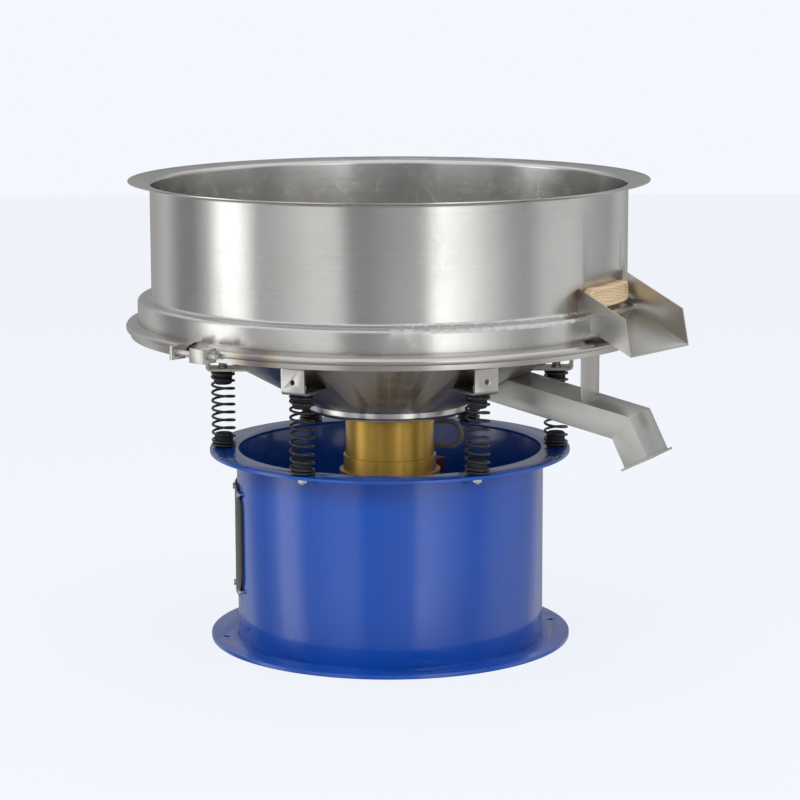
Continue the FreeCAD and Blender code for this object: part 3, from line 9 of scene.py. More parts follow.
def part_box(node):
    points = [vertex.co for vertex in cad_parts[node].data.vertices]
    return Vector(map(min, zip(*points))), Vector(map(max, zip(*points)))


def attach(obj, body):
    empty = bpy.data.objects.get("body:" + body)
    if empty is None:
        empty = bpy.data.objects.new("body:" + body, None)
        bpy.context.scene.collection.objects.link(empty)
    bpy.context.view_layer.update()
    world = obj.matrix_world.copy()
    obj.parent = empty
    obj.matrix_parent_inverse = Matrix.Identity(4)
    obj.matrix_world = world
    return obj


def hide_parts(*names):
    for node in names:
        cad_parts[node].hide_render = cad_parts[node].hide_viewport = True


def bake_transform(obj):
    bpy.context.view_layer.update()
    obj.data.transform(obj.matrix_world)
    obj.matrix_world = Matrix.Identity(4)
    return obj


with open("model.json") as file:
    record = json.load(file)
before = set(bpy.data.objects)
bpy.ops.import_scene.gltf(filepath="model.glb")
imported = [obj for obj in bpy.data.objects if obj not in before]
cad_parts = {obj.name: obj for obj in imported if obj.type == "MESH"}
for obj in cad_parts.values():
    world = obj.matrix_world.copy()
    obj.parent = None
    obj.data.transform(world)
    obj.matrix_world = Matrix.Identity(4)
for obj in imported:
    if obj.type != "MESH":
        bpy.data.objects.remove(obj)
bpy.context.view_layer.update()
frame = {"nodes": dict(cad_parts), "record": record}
nodes = frame["nodes"]
scene = bpy.context.scene
MM = 0.001

# Spring studs and nuts; bores are radii.
STUD_DIAMETER, STUD_PITCH = 10 * MM, 1.5 * MM
NUT_ACROSS, NUT_BORE = 16 * MM, 5.1 * MM
WASHER_BORE, WASHER_RADIUS, WASHER_THICKNESS, WASHER_CHAMFER = 5.4 * MM, 10 * MM, 2 * MM, 0.6 * MM

# Faces that meet at less than these degrees look smooth.
SHEET_SMOOTH, THREAD_SMOOTH, NUT_SMOOTH, COIL_SMOOTH = 30, 35, 25, 60

# The camera stands before the machine; lengths in metres, angles in degrees.
CAMERA_PLACE = (0, -5.207, 1.367)
CAMERA_DOWN, CAMERA_ROLL = 9.82, -0.19
CAMERA_LENS, CAMERA_SENSOR, CAMERA_SHIFT = 121.7, 36, 0.0129


# ---------------------------------------------------------------- node trees

class Value:
    """A socket of a node tree.  Arithmetic on it adds Math nodes."""

    def __init__(self, graph, socket):
        self.graph = graph
        self.socket = socket

    def maths(self, operation, *operands):
        operands = dict(enumerate((self, *operands)))
        return self.graph.node("ShaderNodeMath", {"operation": operation}, operands)

    def __add__(self, other):
        return self.maths("ADD", other)

    def __sub__(self, other):
        return self.maths("SUBTRACT", other)

    def __mul__(self, other):
        return self.maths("MULTIPLY", other)

    def __truediv__(self, other):
        return self.maths("DIVIDE", other)

    def __rsub__(self, other):
        return self.graph.node("ShaderNodeMath", {"operation": "SUBTRACT"}, {0: other, 1: self})

    __radd__ = __add__
    __rmul__ = __mul__

    def fade(self, low, high):
        """0 below low, 1 above high and smooth between them; falling when low is above high."""
        if low > high:
            return 1 - self.fade(high, low)
        return self.graph.node("ShaderNodeMapRange", {"interpolation_type": "SMOOTHSTEP"},
                               {"Value": self, "From Min": low, "From Max": high})


class Graph:
    """A node tree under construction."""

    def __init__(self, tree):
        self.tree = tree

    def node(self, kind, settings=None, inputs=None, output=0):
        """Add a node, give it its settings and then its inputs, and return one of its outputs."""
        node = self.tree.nodes.new(kind)
        for name, value in (settings or {}).items():
            if name == "stops":
                self.set_stops(node.color_ramp, value)
            else:
                setattr(node, name, value)
        for key, value in (inputs or {}).items():
            if isinstance(value, Value):
                self.tree.links.new(value.socket, node.inputs[key])
            else:
                node.inputs[key].default_value = value
        return Value(self, node.outputs[output]) if len(node.outputs) else None

    @staticmethod
    def set_stops(ramp, stops):
        """Grey stops as (position, level)."""
        while len(ramp.elements) < len(stops):
            ramp.elements.new(1)
        for element, (position, level) in zip(ramp.elements, stops):
            element.position = position
            element.color = (level, level, level, 1)


class Pattern(Graph):
    """Shader nodes that start from one kind of coordinates."""

    def __init__(self, tree, coordinates):
        tree.nodes.clear()
        super().__init__(tree)
        self.place = self.node("ShaderNodeTexCoord", output=coordinates)

    def axis(self, name):
        return self.node("ShaderNodeSeparateXYZ", inputs={0: self.place}, output=name)

    def mix(self, factor, first, second):
        return self.node("ShaderNodeMix", {"data_type": "RGBA"},
                         {0: factor, 6: self.colour(first), 7: self.colour(second)}, output=2)

    @staticmethod
    def colour(value):
        return value if isinstance(value, Value) else tuple(value) + (1,)


class Surface(Pattern):
    """A procedural finish, drawn in the object's own coordinates, in metres."""

    def __init__(self, name):
        self.material = bpy.data.materials.new(name)
        self.material.use_nodes = True
        super().__init__(self.material.node_tree, "Object")

    def stretched(self, scale, turn=(0, 0, 0)):
        """The object's coordinates, turned by degrees and then scaled, for grain that runs one way."""
        turned = self.node("ShaderNodeMapping", inputs={
            "Vector": self.place, "Rotation": tuple(math.radians(angle) for angle in turn)})
        return self.node("ShaderNodeMapping", inputs={"Vector": turned, "Scale": scale})

    def noise(self, scale, detail=3.0, roughness=0.5, distortion=0.0, vector=None):
        return self.node("ShaderNodeTexNoise", inputs={
            "Vector": vector or self.place, "Scale": scale, "Detail": detail, "Roughness": roughness,
            "Distortion": distortion})

    def cells(self, scale):
        return self.node("ShaderNodeTexVoronoi", inputs={"Vector": self.place, "Scale": scale})

    def from_axis(self):
        """Distance from the machine's upright axis."""
        level = (1, 1, 0)
        flat = self.node("ShaderNodeVectorMath", {"operation": "MULTIPLY"}, {0: self.place, 1: level})
        return self.node("ShaderNodeVectorMath", {"operation": "LENGTH"}, {0: flat}, output="Value")

    def near(self, point, radius):
        """1 at a point, 0 beyond a radius."""
        gap = self.node("ShaderNodeVectorMath", {"operation": "DISTANCE"}, {0: self.place, 1: point},
                        output="Value")
        return gap.fade(radius, 0)

    def bump(self, height, distance, strength):
        return self.node("ShaderNodeBump", inputs={
            "Height": height, "Distance": distance, "Strength": strength})

    def done(self, **inputs):
        """Close the finish with a Principled shader; an underscore in a name stands for a space."""
        named = {name.replace("_", " "): value for name, value in inputs.items()}
        named["Base Color"] = self.colour(named["Base Color"])
        shader = self.node("ShaderNodeBsdfPrincipled", inputs=named)
        self.node("ShaderNodeOutputMaterial", inputs={"Surface": shader})
        return self.material


class Recipe(Graph):
    """A geometry tree with named inputs for its sizes."""

    def __init__(self, name, **sizes):
        tree = bpy.data.node_groups.new(name, "GeometryNodeTree")
        super().__init__(tree)
        tree.interface.new_socket("Geometry", in_out="INPUT", socket_type="NodeSocketGeometry")
        for label, (kind, default) in sizes.items():
            socket = tree.interface.new_socket(label, in_out="INPUT", socket_type=f"NodeSocket{kind}")
            if default is not None:
                socket.default_value = default
        tree.interface.new_socket("Finish", in_out="INPUT", socket_type="NodeSocketMaterial")
        tree.interface.new_socket("Geometry", in_out="OUTPUT", socket_type="NodeSocketGeometry")
        self.entry = tree.nodes.new("NodeGroupInput")

    def given(self, label):
        return Value(self, self.entry.outputs[label])

    def close(self, geometry):
        """End the tree: copies become real meshes and get the finish."""
        real = self.node("GeometryNodeRealizeInstances", inputs={"Geometry": geometry})
        finished = self.node("GeometryNodeSetMaterial", inputs={
            "Geometry": real, "Material": self.given("Finish")})
        self.node("NodeGroupOutput", inputs={0: finished})
        return self.tree


def grow(name, tree, finish, **sizes):
    """Run a geometry tree and keep the result as a plain mesh."""
    host = bpy.data.objects.new(name, bpy.data.meshes.new(name))
    scene.collection.objects.link(host)
    modifier = host.modifiers.new("recipe", "NODES")
    modifier.node_group = tree
    sizes["Finish"] = finish
    for item in tree.interface.items_tree:
        if item.item_type == "SOCKET" and item.in_out == "INPUT" and item.name in sizes:
            modifier[item.identifier] = sizes[item.name]
    bpy.context.view_layer.update()
    evaluated = host.evaluated_get(bpy.context.evaluated_depsgraph_get())
    mesh = bpy.data.meshes.new_from_object(evaluated)
    host.modifiers.remove(modifier)
    bpy.data.objects.remove(host)
    mesh.name = name
    piece = bpy.data.objects.new(name, mesh)
    scene.collection.objects.link(piece)
    return piece


# ---------------------------------------------------------------- finishes

STRAW_HEAT, BLUE_HEAT = (0.42, 0.29, 0.17), (0.16, 0.15, 0.24)
BARE_STEEL, RUST = (0.34, 0.33, 0.32), (0.16, 0.075, 0.035)
QUARTER_TURN = 0.25


def shade(tone, factor):
    """A colour made darker or lighter."""
    return tuple(channel * factor for channel in tone)


def stainless(name, grain, tone, rough, turn=(0, 0, 0), drawn=0.0, around=False, tints=()):
    """Brushed stainless sheet: grain lines, soft haze, fine scratches and heat tint near its welds.

    Grain is the pattern's scale along each axis, after the turn.  Each tint is a place, a reach and a strength.
    """
    s = Surface(name)
    lines = s.noise(1.0, detail=4, roughness=0.65, vector=s.stretched(grain, turn))
    bands = s.noise(1.0, detail=2, vector=s.stretched(shade(grain, 0.22), turn))
    haze = s.noise(5.0, detail=5, roughness=0.6, distortion=0.4)
    smears = s.noise(17.0, detail=4, roughness=0.7, distortion=1.2)
    scratch = s.noise(1.0, detail=2, vector=s.stretched((260, 9, 9), (17, 31, 24))).fade(0.71, 0.76)
    colour = s.mix(haze.fade(0.35, 0.7) * 0.5, tone, shade(tone, 0.86))
    colour = s.mix(bands.fade(0.3, 0.75) * 0.22, colour, shade(tone, 1.1))
    for point, radius, strength in tints:
        heat = s.near(point, radius)
        colour = s.mix(heat.fade(0.15, 0.6) * 0.6 * strength, colour, STRAW_HEAT)
        colour = s.mix(heat.fade(0.55, 0.9) * 0.55 * strength, colour, BLUE_HEAT)
    roughness = rough + lines * 0.1 + smears.fade(0.45, 0.75) * 0.08 + haze * 0.06 - 0.06
    height = lines * 0.6 + bands * 0.4 + scratch * -0.7
    return s.done(Base_Color=colour, Metallic=1.0, Roughness=roughness, Anisotropic=drawn,
                  Anisotropic_Rotation=QUARTER_TURN if around else 0.0,
                  Normal=s.bump(height, 0.02 * MM, 0.5))


def enamel(name, tone, deep, rough=0.16, coat=0.5, chips=None):
    """Sprayed enamel: orange peel, a slow drift of tone, dust in the gloss and chips where it is knocked."""
    s = Surface(name)
    drift = s.noise(3.5, detail=3)
    dust = s.noise(90.0, detail=4, roughness=0.7)
    peel_height = s.noise(240.0, detail=1.5) + s.noise(60.0, detail=1) * 0.6
    colour = s.mix(drift.fade(0.3, 0.75), tone, deep)
    colour = s.mix(dust.fade(0.62, 0.8) * 0.1, colour, tuple(min(1, c * 1.3 + 0.05) for c in tone))
    roughness = rough + dust.fade(0.4, 0.8) * 0.1 + drift * 0.05
    metallic = 0.0
    if chips:
        wear = s.noise(150.0, detail=5, roughness=0.75) + s.noise(30.0, detail=2) * 0.35
        bare = (wear * chips(s)).fade(0.86, 0.93)
        colour = s.mix(bare, colour, BARE_STEEL)
        roughness = roughness + bare * 0.3
        metallic = bare * 0.8
    return s.done(Base_Color=colour, Metallic=metallic, Roughness=roughness, Coat_Weight=coat,
                  Coat_Roughness=0.06, Normal=s.bump(peel_height, 0.03 * MM, 0.5))


def plated(name, tone, rough, blotch):
    """Zinc or nickel plate: patchy, with a fine grain."""
    s = Surface(name)
    patch = s.noise(160.0, detail=4, roughness=0.65)
    grain = s.noise(900.0, detail=2)
    colour = s.mix(patch.fade(0.35, 0.75), tone, blotch)
    return s.done(Base_Color=colour, Metallic=0.95, Roughness=rough + patch * 0.2,
                  Normal=s.bump(grain + patch * 0.5, 0.03 * MM, 0.4))


def turned_steel(name, tone, rough=0.3):
    """Lathe-turned steel with fine tool marks round the axis."""
    s = Surface(name)
    rings = s.noise(1.0, detail=2, vector=s.stretched((4, 4, 1500)))
    stain = s.noise(25.0, detail=4)
    colour = s.mix(stain.fade(0.4, 0.75), tone, shade(tone, 0.75))
    return s.done(Base_Color=colour, Metallic=1.0, Roughness=rough + rings * 0.15,
                  Normal=s.bump(rings, 0.03 * MM, 0.4))


def moulded_rubber(name, tone, rough=0.72):
    """Moulded rubber: a dull bloom and a pebbled skin."""
    s = Surface(name)
    bloom = s.noise(22.0, detail=5, roughness=0.6)
    pebbles = s.cells(1300.0)
    colour = s.mix(bloom.fade(0.42, 0.8) * 0.55, tone, tuple(c * 2.1 + 0.012 for c in tone))
    return s.done(Base_Color=colour, Roughness=rough + bloom * 0.16,
                  Normal=s.bump(pebbles + bloom * 0.6, 0.08 * MM, 0.5))


def cast(name, tone):
    """Rough casting with sand marks."""
    s = Surface(name)
    sand = s.noise(420.0, detail=6, roughness=0.75)
    pits = s.cells(240.0)
    rust = s.noise(30.0, detail=5, roughness=0.7)
    colour = s.mix(rust.fade(0.55, 0.8) * 0.4, tone, RUST)
    return s.done(Base_Color=colour, Metallic=0.6, Roughness=0.62 + sand * 0.2,
                  Normal=s.bump(sand + pits * 0.5, 0.15 * MM, 0.6))


def laminated(name):
    """Stack of stamped sheets, seen as fine level lines."""
    s = Surface(name)
    sheets_per_metre = 2000
    layer = (s.axis("Z") * sheets_per_metre).maths("FRACT").maths("PINGPONG", 0.5) * 2
    stain = s.noise(40.0, detail=4)
    colour = s.mix(stain, (0.2, 0.2, 0.21), (0.11, 0.105, 0.1))
    return s.done(Base_Color=colour, Metallic=0.9, Roughness=0.4 + stain * 0.2,
                  Normal=s.bump(layer, 0.05 * MM, 0.5))


def gold_enamel(name):
    """Gold hammer enamel on the motor's turned barrel."""
    s = Surface(name)
    flow = s.noise(260.0, detail=3, roughness=0.55)
    drift = s.noise(9.0, detail=3)
    rings = s.noise(1.0, detail=2, vector=s.stretched((3, 3, 500)))
    colour = s.mix(drift.fade(0.3, 0.7), (0.66, 0.41, 0.075), (0.56, 0.33, 0.05))
    colour = s.mix(flow.fade(0.55, 0.75) * 0.2, colour, (0.78, 0.55, 0.16))
    return s.done(Base_Color=colour, Metallic=0.85, Roughness=0.3 + flow * 0.12 + rings * 0.06,
                  Anisotropic=0.4, Anisotropic_Rotation=QUARTER_TURN, Coat_Weight=0.3, Coat_Roughness=0.12,
                  Normal=s.bump(flow + rings * 0.5, 0.05 * MM, 0.4))


def pale_wood(name):
    """Planed pale board: growth rings, fibres and a little oil."""
    s = Surface(name)
    board_turn = (0, 0, 39)
    rings = s.node("ShaderNodeTexWave", {"wave_type": "RINGS", "rings_direction": "X"},
                   {"Vector": s.stretched((9, 60, 60), board_turn), "Scale": 0.9, "Distortion": 4.0,
                    "Detail": 3.0, "Detail Scale": 1.2}, output="Fac")
    fibres = s.noise(1.0, detail=5, roughness=0.7, vector=s.stretched((60, 900, 900), board_turn))
    colour = s.mix(rings.fade(0.2, 0.9), (0.80, 0.64, 0.42), (0.68, 0.50, 0.29))
    colour = s.mix(fibres.fade(0.5, 0.8) * 0.5, colour, (0.58, 0.41, 0.23))
    return s.done(Base_Color=colour, Roughness=0.55 + fibres * 0.2,
                  Normal=s.bump(fibres + rings * 0.4, 0.12 * MM, 0.5))


def woven(name, pitch):
    """Plain-weave wire cloth: warp and weft as rounded wires over and under, with open holes."""
    s = Surface(name)
    across, along = s.axis("X") / pitch, s.axis("Y") / pitch
    warp = across.maths("FRACT").maths("SUBTRACT", 0.5).maths("ABSOLUTE")
    weft = along.maths("FRACT").maths("SUBTRACT", 0.5).maths("ABSOLUTE")
    over = ((across + along) * 0.5).maths("FRACT").fade(0.45, 0.55)
    wire = 0.3
    on_warp, on_weft = warp.fade(wire, wire - 0.05), weft.fade(wire, wire - 0.05)
    shown = on_warp.maths("MAXIMUM", on_weft)
    height = (0.5 - warp) * on_warp * (0.6 + over * 0.4) + (0.5 - weft) * on_weft * (1 - over * 0.4)
    dust = s.noise(14.0, detail=4)
    colour = s.mix(dust.fade(0.4, 0.7) * 0.4, (0.55, 0.55, 0.54), (0.42, 0.41, 0.39))
    return s.done(Base_Color=colour, Metallic=0.9, Roughness=0.36 + dust * 0.12, Alpha=0.35 + shown * 0.65,
                  Normal=s.bump(height, 0.3 * MM, 0.6))


BLUE, BLUE_DEEP = (0.0022, 0.075, 0.43), (0.0016, 0.062, 0.37)


def flange_edge(s):
    """Where the drum's flanges take knocks: at their outer and inner edges."""
    radius = s.from_axis()
    return radius.fade(0.340, 0.352) + radius.fade(0.302, 0.297) * 0.9


# Heat tints by their welds: place, reach and strength.
TUB_TINTS = (((0.341, -0.302, 0.70), 0.055, 0.8), ((0.433, -0.124, 0.736), 0.035, 1.0),
             ((0.365, -0.27, 0.682), 0.05, 0.6))
BAND_TINTS = (((-0.24, -0.44, 0.62), 0.075, 0.9), ((-0.37, -0.35, 0.62), 0.05, 0.5))
PAN_TINTS = (((0.16, -0.28, 0.545), 0.07, 0.7), ((-0.16, -0.28, 0.545), 0.07, 0.7))
DUCT_TINTS = (((0.475, -0.235, 0.47), 0.04, 0.5), ((0.375, -0.19, 0.515), 0.03, 0.6))
CHUTE_TINTS = (((0.346, -0.302, 0.715), 0.03, 0.9),)

FINISHES = {
    "tub_steel": stainless("tub_steel", (1.6, 1.6, 620), (0.64, 0.635, 0.62), 0.19, drawn=0.8, around=True,
                           tints=TUB_TINTS),
    "band_steel": stainless("band_steel", (1.6, 1.6, 500), (0.62, 0.60, 0.575), 0.2, drawn=0.6, around=True,
                            tints=BAND_TINTS),
    "pan_steel": stainless("pan_steel", (2.2, 2.2, 420), (0.52, 0.50, 0.47), 0.27, drawn=0.5, around=True,
                           tints=PAN_TINTS),
    "plate_steel": stainless("plate_steel", (14, 260, 260), (0.60, 0.59, 0.56), 0.3, (0, 20, 30)),
    "duct_steel": stainless("duct_steel", (7, 220, 220), (0.60, 0.60, 0.58), 0.3, (0, 12, 26.6),
                            tints=DUCT_TINTS),
    "chute_steel": stainless("chute_steel", (7, 240, 240), (0.58, 0.57, 0.54), 0.32, (0, 25, 39),
                             tints=CHUTE_TINTS),
    "fitting_steel": stainless("fitting_steel", (120, 120, 120), (0.60, 0.585, 0.55), 0.27),
    "blue_enamel": enamel("blue_enamel", BLUE, BLUE_DEEP, chips=flange_edge),
    "black_enamel": enamel("black_enamel", (0.018, 0.018, 0.02), (0.012, 0.012, 0.014), 0.32, 0.15),
    "spring_enamel": enamel("spring_enamel", (0.02, 0.021, 0.024), (0.013, 0.013, 0.015), 0.3, 0.25),
    "red_enamel": enamel("red_enamel", (0.13, 0.018, 0.014), (0.09, 0.012, 0.01), 0.3, 0.2),
    "gold_enamel": gold_enamel("gold_enamel"),
    "zinc": plated("zinc", (0.78, 0.78, 0.76), 0.24, (0.5, 0.5, 0.46)),
    "nickel": plated("nickel", (0.62, 0.6, 0.54), 0.22, (0.5, 0.47, 0.4)),
    "bearing_steel": turned_steel("bearing_steel", (0.66, 0.66, 0.66), 0.16),
    "shaft_steel": turned_steel("shaft_steel", (0.5, 0.5, 0.49)),
    "core_sheets": laminated("core_sheets"),
    "weight_iron": cast("weight_iron", (0.14, 0.14, 0.145)),
    "plug_rubber": moulded_rubber("plug_rubber", (0.014, 0.015, 0.017)),
    "seal_rubber": moulded_rubber("seal_rubber", (0.42, 0.42, 0.4), 0.5),
    "board": pale_wood("board"),
    "wire_cloth": woven("wire_cloth", 2.4 * MM),
}


# ---------------------------------------------------------------- meshes

class Form:
    """A mesh in the making.  Each call adds one closed form; lengths are in metres."""

    def __init__(self):
        self.mesh = bmesh.new()

    def loft(self, rings, place, looped=False):
        """Skin between rings of as many points each, closed at its ends or from the last ring to the first."""
        rows = [[self.mesh.verts.new(place @ Vector(point)) for point in ring] for ring in rings]
        pairs = list(zip(rows, rows[1:])) + ([(rows[-1], rows[0])] if looped else [])
        for low, high in pairs:
            for i in range(len(low)):
                j = (i + 1) % len(low)
                self.mesh.faces.new((low[i], low[j], high[j], high[i]))
        if not looped:
            self.mesh.faces.new(list(reversed(rows[0])))
            self.mesh.faces.new(rows[-1])
        return self

    def lathe(self, profile, place, sides=40):
        """Turn a closed outline of (radius, height) points about Z."""
        turns = [math.tau * i / sides for i in range(sides)]
        rings = [[(r * math.cos(a), r * math.sin(a), z) for a in turns] for r, z in profile]
        return self.loft(rings, place, looped=True)

    def nut(self, across, height, bore, place, sides=48):
        """Hexagon nut standing on z = 0, with both faces chamfered; bore is its hole's radius."""
        flat = across / 2 * 0.95

        def edge(angle):
            return across / 2 / math.cos((angle + math.pi / 6) % (math.pi / 3) - math.pi / 6)
        turns = [math.tau * i / sides for i in range(sides)]
        drop = math.tan(math.radians(30))

        def ring(radius_of, height_of):
            return [(radius_of(a) * math.cos(a), radius_of(a) * math.sin(a), height_of(a)) for a in turns]
        rings = [ring(lambda a: bore, lambda a: 0), ring(lambda a: flat, lambda a: 0),
                 ring(edge, lambda a: (edge(a) - flat) * drop),
                 ring(edge, lambda a: height - (edge(a) - flat) * drop),
                 ring(lambda a: flat, lambda a: height), ring(lambda a: bore, lambda a: height)]
        return self.loft(rings, place, looped=True)

    def thread(self, diameter, pitch, low, high, place, sides=24):
        """Threaded rod along Z with chamfered ends."""
        depth = pitch * 0.5
        step = pitch / 4
        count = max(2, round((high - low) / step))
        rings = []
        for i in range(count + 1):
            z = low + (high - low) * i / count
            taper = min(1, min(z - low, high - z) / (1.2 * pitch) + 0.25)
            ring = []
            for k in range(sides):
                share = (z / pitch - k / sides) % 1
                radius = diameter / 2 - depth * (abs(share - 0.5) * 2 * taper + (1 - taper))
                angle = math.tau * k / sides
                ring.append((radius * math.cos(angle), radius * math.sin(angle), z))
            rings.append(ring)
        return self.loft(rings, place)

    def piece(self, name, finish):
        """Make the object."""
        bmesh.ops.remove_doubles(self.mesh, verts=self.mesh.verts, dist=1e-6)
        bmesh.ops.recalc_face_normals(self.mesh, faces=self.mesh.faces)
        data = bpy.data.meshes.new(name)
        self.mesh.to_mesh(data)
        self.mesh.free()
        data.materials.append(FINISHES[finish])
        obj = bpy.data.objects.new(name, data)
        scene.collection.objects.link(obj)
        return soften(obj, 0, THREAD_SMOOTH)


def baked(obj):
    """Replace an object's mesh by its evaluated one and drop its modifiers."""
    bpy.context.view_layer.update()
    mesh = bpy.data.meshes.new_from_object(obj.evaluated_get(bpy.context.evaluated_depsgraph_get()))
    obj.modifiers.clear()
    obj.data = mesh
    return obj


def soften(obj, bevel, smooth):
    """Bevel sharp edges by a width and shade smooth up to an angle, both kept in the mesh."""
    if bevel:
        modifier = obj.modifiers.new("bevel", "BEVEL")
        modifier.width = bevel
        modifier.segments = 2
        modifier.limit_method = "ANGLE"
        modifier.angle_limit = math.radians(smooth)
        modifier.use_clamp_overlap = True
        modifier.miter_outer = "MITER_ARC"
        baked(obj)
    obj.data.shade_smooth()
    obj.data.set_sharp_from_angle(angle=math.radians(smooth))
    return obj


def kept(obj, body, node):
    """Let a finished piece ride on a body and stand for a CAD node."""
    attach(obj, body)
    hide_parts(node)


BODY_OF = {name: body for body, names in frame["record"]["behaviour"]["bodies"].items() for name in names}


def dressed(node, finish, bevel):
    """A copy of a CAD node with merged faces, softened edges and smooth curves, which stands for the node."""
    data = nodes[node].data.copy()
    mesh = bmesh.new()
    mesh.from_mesh(data)
    bmesh.ops.remove_doubles(mesh, verts=mesh.verts, dist=1e-6)
    bmesh.ops.dissolve_limit(mesh, angle_limit=math.radians(0.3), verts=mesh.verts, edges=mesh.edges,
                             use_dissolve_boundaries=False)
    mesh.to_mesh(data)
    mesh.free()
    data.materials.clear()
    data.materials.append(FINISHES[finish])
    data.name = f"{node}_dressed"
    obj = bpy.data.objects.new(data.name, data)
    scene.collection.objects.link(obj)
    soften(obj, bevel, SHEET_SMOOTH)
    kept(obj, BODY_OF[node], node)


def plain(node, finish):
    """A CAD node that stays as it is and gets its finish."""
    nodes[node].data.materials.clear()
    nodes[node].data.materials.append(FINISHES[finish])


# ---------------------------------------------------------------- recipes for what repeats

def ring_recipe():
    """Copies of a form evenly round the machine's axis."""
    r = Recipe("ring_of_copies", Form=("Object", None), Count=("Int", 6))
    form = r.node("GeometryNodeObjectInfo", {"transform_space": "ORIGINAL"}, {"Object": r.given("Form")},
                  output="Geometry")
    spots = r.node("GeometryNodePoints", inputs={"Count": r.given("Count"), "Position": (0, 0, 0)})
    turn = r.node("GeometryNodeInputIndex") * math.tau / r.given("Count")
    spin = r.node("FunctionNodeEulerToRotation", inputs={0: r.node("ShaderNodeCombineXYZ", inputs={"Z": turn})})
    return r.close(r.node("GeometryNodeInstanceOnPoints", inputs={
        "Points": spots, "Instance": form, "Rotation": spin}))


def coil_recipe():
    """Compression springs with closed ends whose pitch opens over one turn, evenly round the machine's axis."""
    r = Recipe("coil_springs", Height=("Float", 0.152), Outside=("Float", 0.047), Wire=("Float", 0.005),
               Turns=("Float", 11.0), Closed=("Float", 0.75), Circle=("Float", 0.325), Seat=("Float", 0.375),
               Count=("Int", 6))
    wire, turns, closed, height = (r.given(n) for n in ("Wire", "Turns", "Closed", "Height"))
    mean = (r.given("Outside") - wire) / 2
    spiral = r.node("GeometryNodeCurveSpiral", inputs={
        "Resolution": 48, "Rotations": turns, "Start Radius": mean, "End Radius": mean, "Height": 1.0})
    place = r.node("GeometryNodeInputPosition")
    x, y, share_of_height = (r.node("ShaderNodeSeparateXYZ", inputs={0: place}, output=i) for i in range(3))
    turn = share_of_height * turns
    opening = 1.0

    def opened(gone):
        """What a turn has climbed since its pitch began to open, as a share of an open turn's pitch."""
        share = gone.maths("MINIMUM", opening).maths("MAXIMUM", 0.0)
        return share * 0.5 - (share * math.pi).maths("SINE") / math.tau
    straight = turns - closed * 2 - 2 * opening
    climbed = (opened(turn - closed) + 0.5 * opening - opened(turns - closed - turn)
               + (turn - closed - opening).maths("MAXIMUM", 0.0).maths("MINIMUM", straight))
    shut = wire * 1.1
    extra = (height - wire - shut * turns) / (straight + opening)
    level = wire / 2 + shut * turn + extra * climbed + r.given("Seat")
    bent = r.node("GeometryNodeSetPosition", inputs={
        "Geometry": spiral, "Position": r.node("ShaderNodeCombineXYZ", inputs={0: x, 1: y, 2: level})})
    section = r.node("GeometryNodeCurvePrimitiveCircle", inputs={"Resolution": 12, "Radius": wire / 2})
    skin = r.node("GeometryNodeCurveToMesh", inputs={"Curve": bent, "Profile Curve": section, "Fill Caps": True})
    spots = r.node("GeometryNodeMeshCircle", inputs={"Vertices": r.given("Count"), "Radius": r.given("Circle")})
    return r.close(r.node("GeometryNodeInstanceOnPoints", inputs={"Points": spots, "Instance": skin}))


RING, COIL = ring_recipe(), coil_recipe()


def ring_of(name, form, body, node, smooth):
    """Grow six zinc-plated copies of a form round the axis and keep them as one piece that stands for a node."""
    pattern = form.piece(f"{name}_pattern", "zinc")
    piece = grow(name, RING, FINISHES["zinc"], Form=pattern, Count=6)
    bpy.data.objects.remove(pattern)
    soften(piece, 0, smooth)
    kept(piece, body, node)


# ---------------------------------------------------------------- the machine

def dress_nodes():
    """Finish the CAD nodes: a copy with softened edges (their width in mm), or the node as it is.

    cover_screws, motor_bolts, shield_screws, conduit and clamp_bolt have no finish of their own.
    """
    for node, finish, bevel in (
            ("base_flange", "blue_enamel", 1.2), ("base_drum", "blue_enamel", 0.6),
            ("top_flange", "blue_enamel", 1.2), ("access_cover", "black_enamel", 0.8),
            ("lower_pan", "pan_steel", 0.6), ("motor_seat", "band_steel", 0.8),
            ("weight_cover", "plate_steel", 0.5), ("outlet_duct", "duct_steel", 0.8),
            ("outlet_lip", "duct_steel", 0.6), ("outlet_strap", "plate_steel", 0.5),
            ("tub", "tub_steel", 0.5), ("oversize_chute", "chute_steel", 0.7),
            ("clamp_band", "band_steel", 0.4), ("clamp_lug", "fitting_steel", 0.8),
            ("clamp_block", "fitting_steel", 1.0), ("motor_housing", "gold_enamel", 0.9),
            ("end_shield", "gold_enamel", 0.9), ("terminal_box", "red_enamel", 1.0),
            ("terminal_lid", "red_enamel", 0.6), ("stopper", "board", 1.0), ("shaft", "shaft_steel", 0.3),
            ("shaft_nut", "shaft_steel", 0.6), ("upper_weight", "weight_iron", 1.0),
            ("lower_weight", "weight_iron", 1.0), ("adjust_weight", "weight_iron", 1.0),
            ("lower_plugs", "plug_rubber", 0.8), ("upper_plugs", "plug_rubber", 0.8)):
        dressed(node, finish, bevel * MM)
    for index in range(6):
        dressed(f"spring_bracket_{index + 1}", "plate_steel", 0.8 * MM)
    for node, finish in (
            ("cover_gasket", "plug_rubber"), ("lower_seal", "seal_rubber"), ("upper_seal", "seal_rubber"),
            ("screen_ring", "plate_steel"), ("screen_cross", "plate_steel"), ("screen_mesh", "wire_cloth"),
            ("tub_flange", "plate_steel"), ("upper_bearing", "bearing_steel"),
            ("lower_bearing", "bearing_steel"), ("stator", "core_sheets"), ("rotor_core", "core_sheets"),
            ("conduit_glands", "nickel")):
        plain(node, finish)


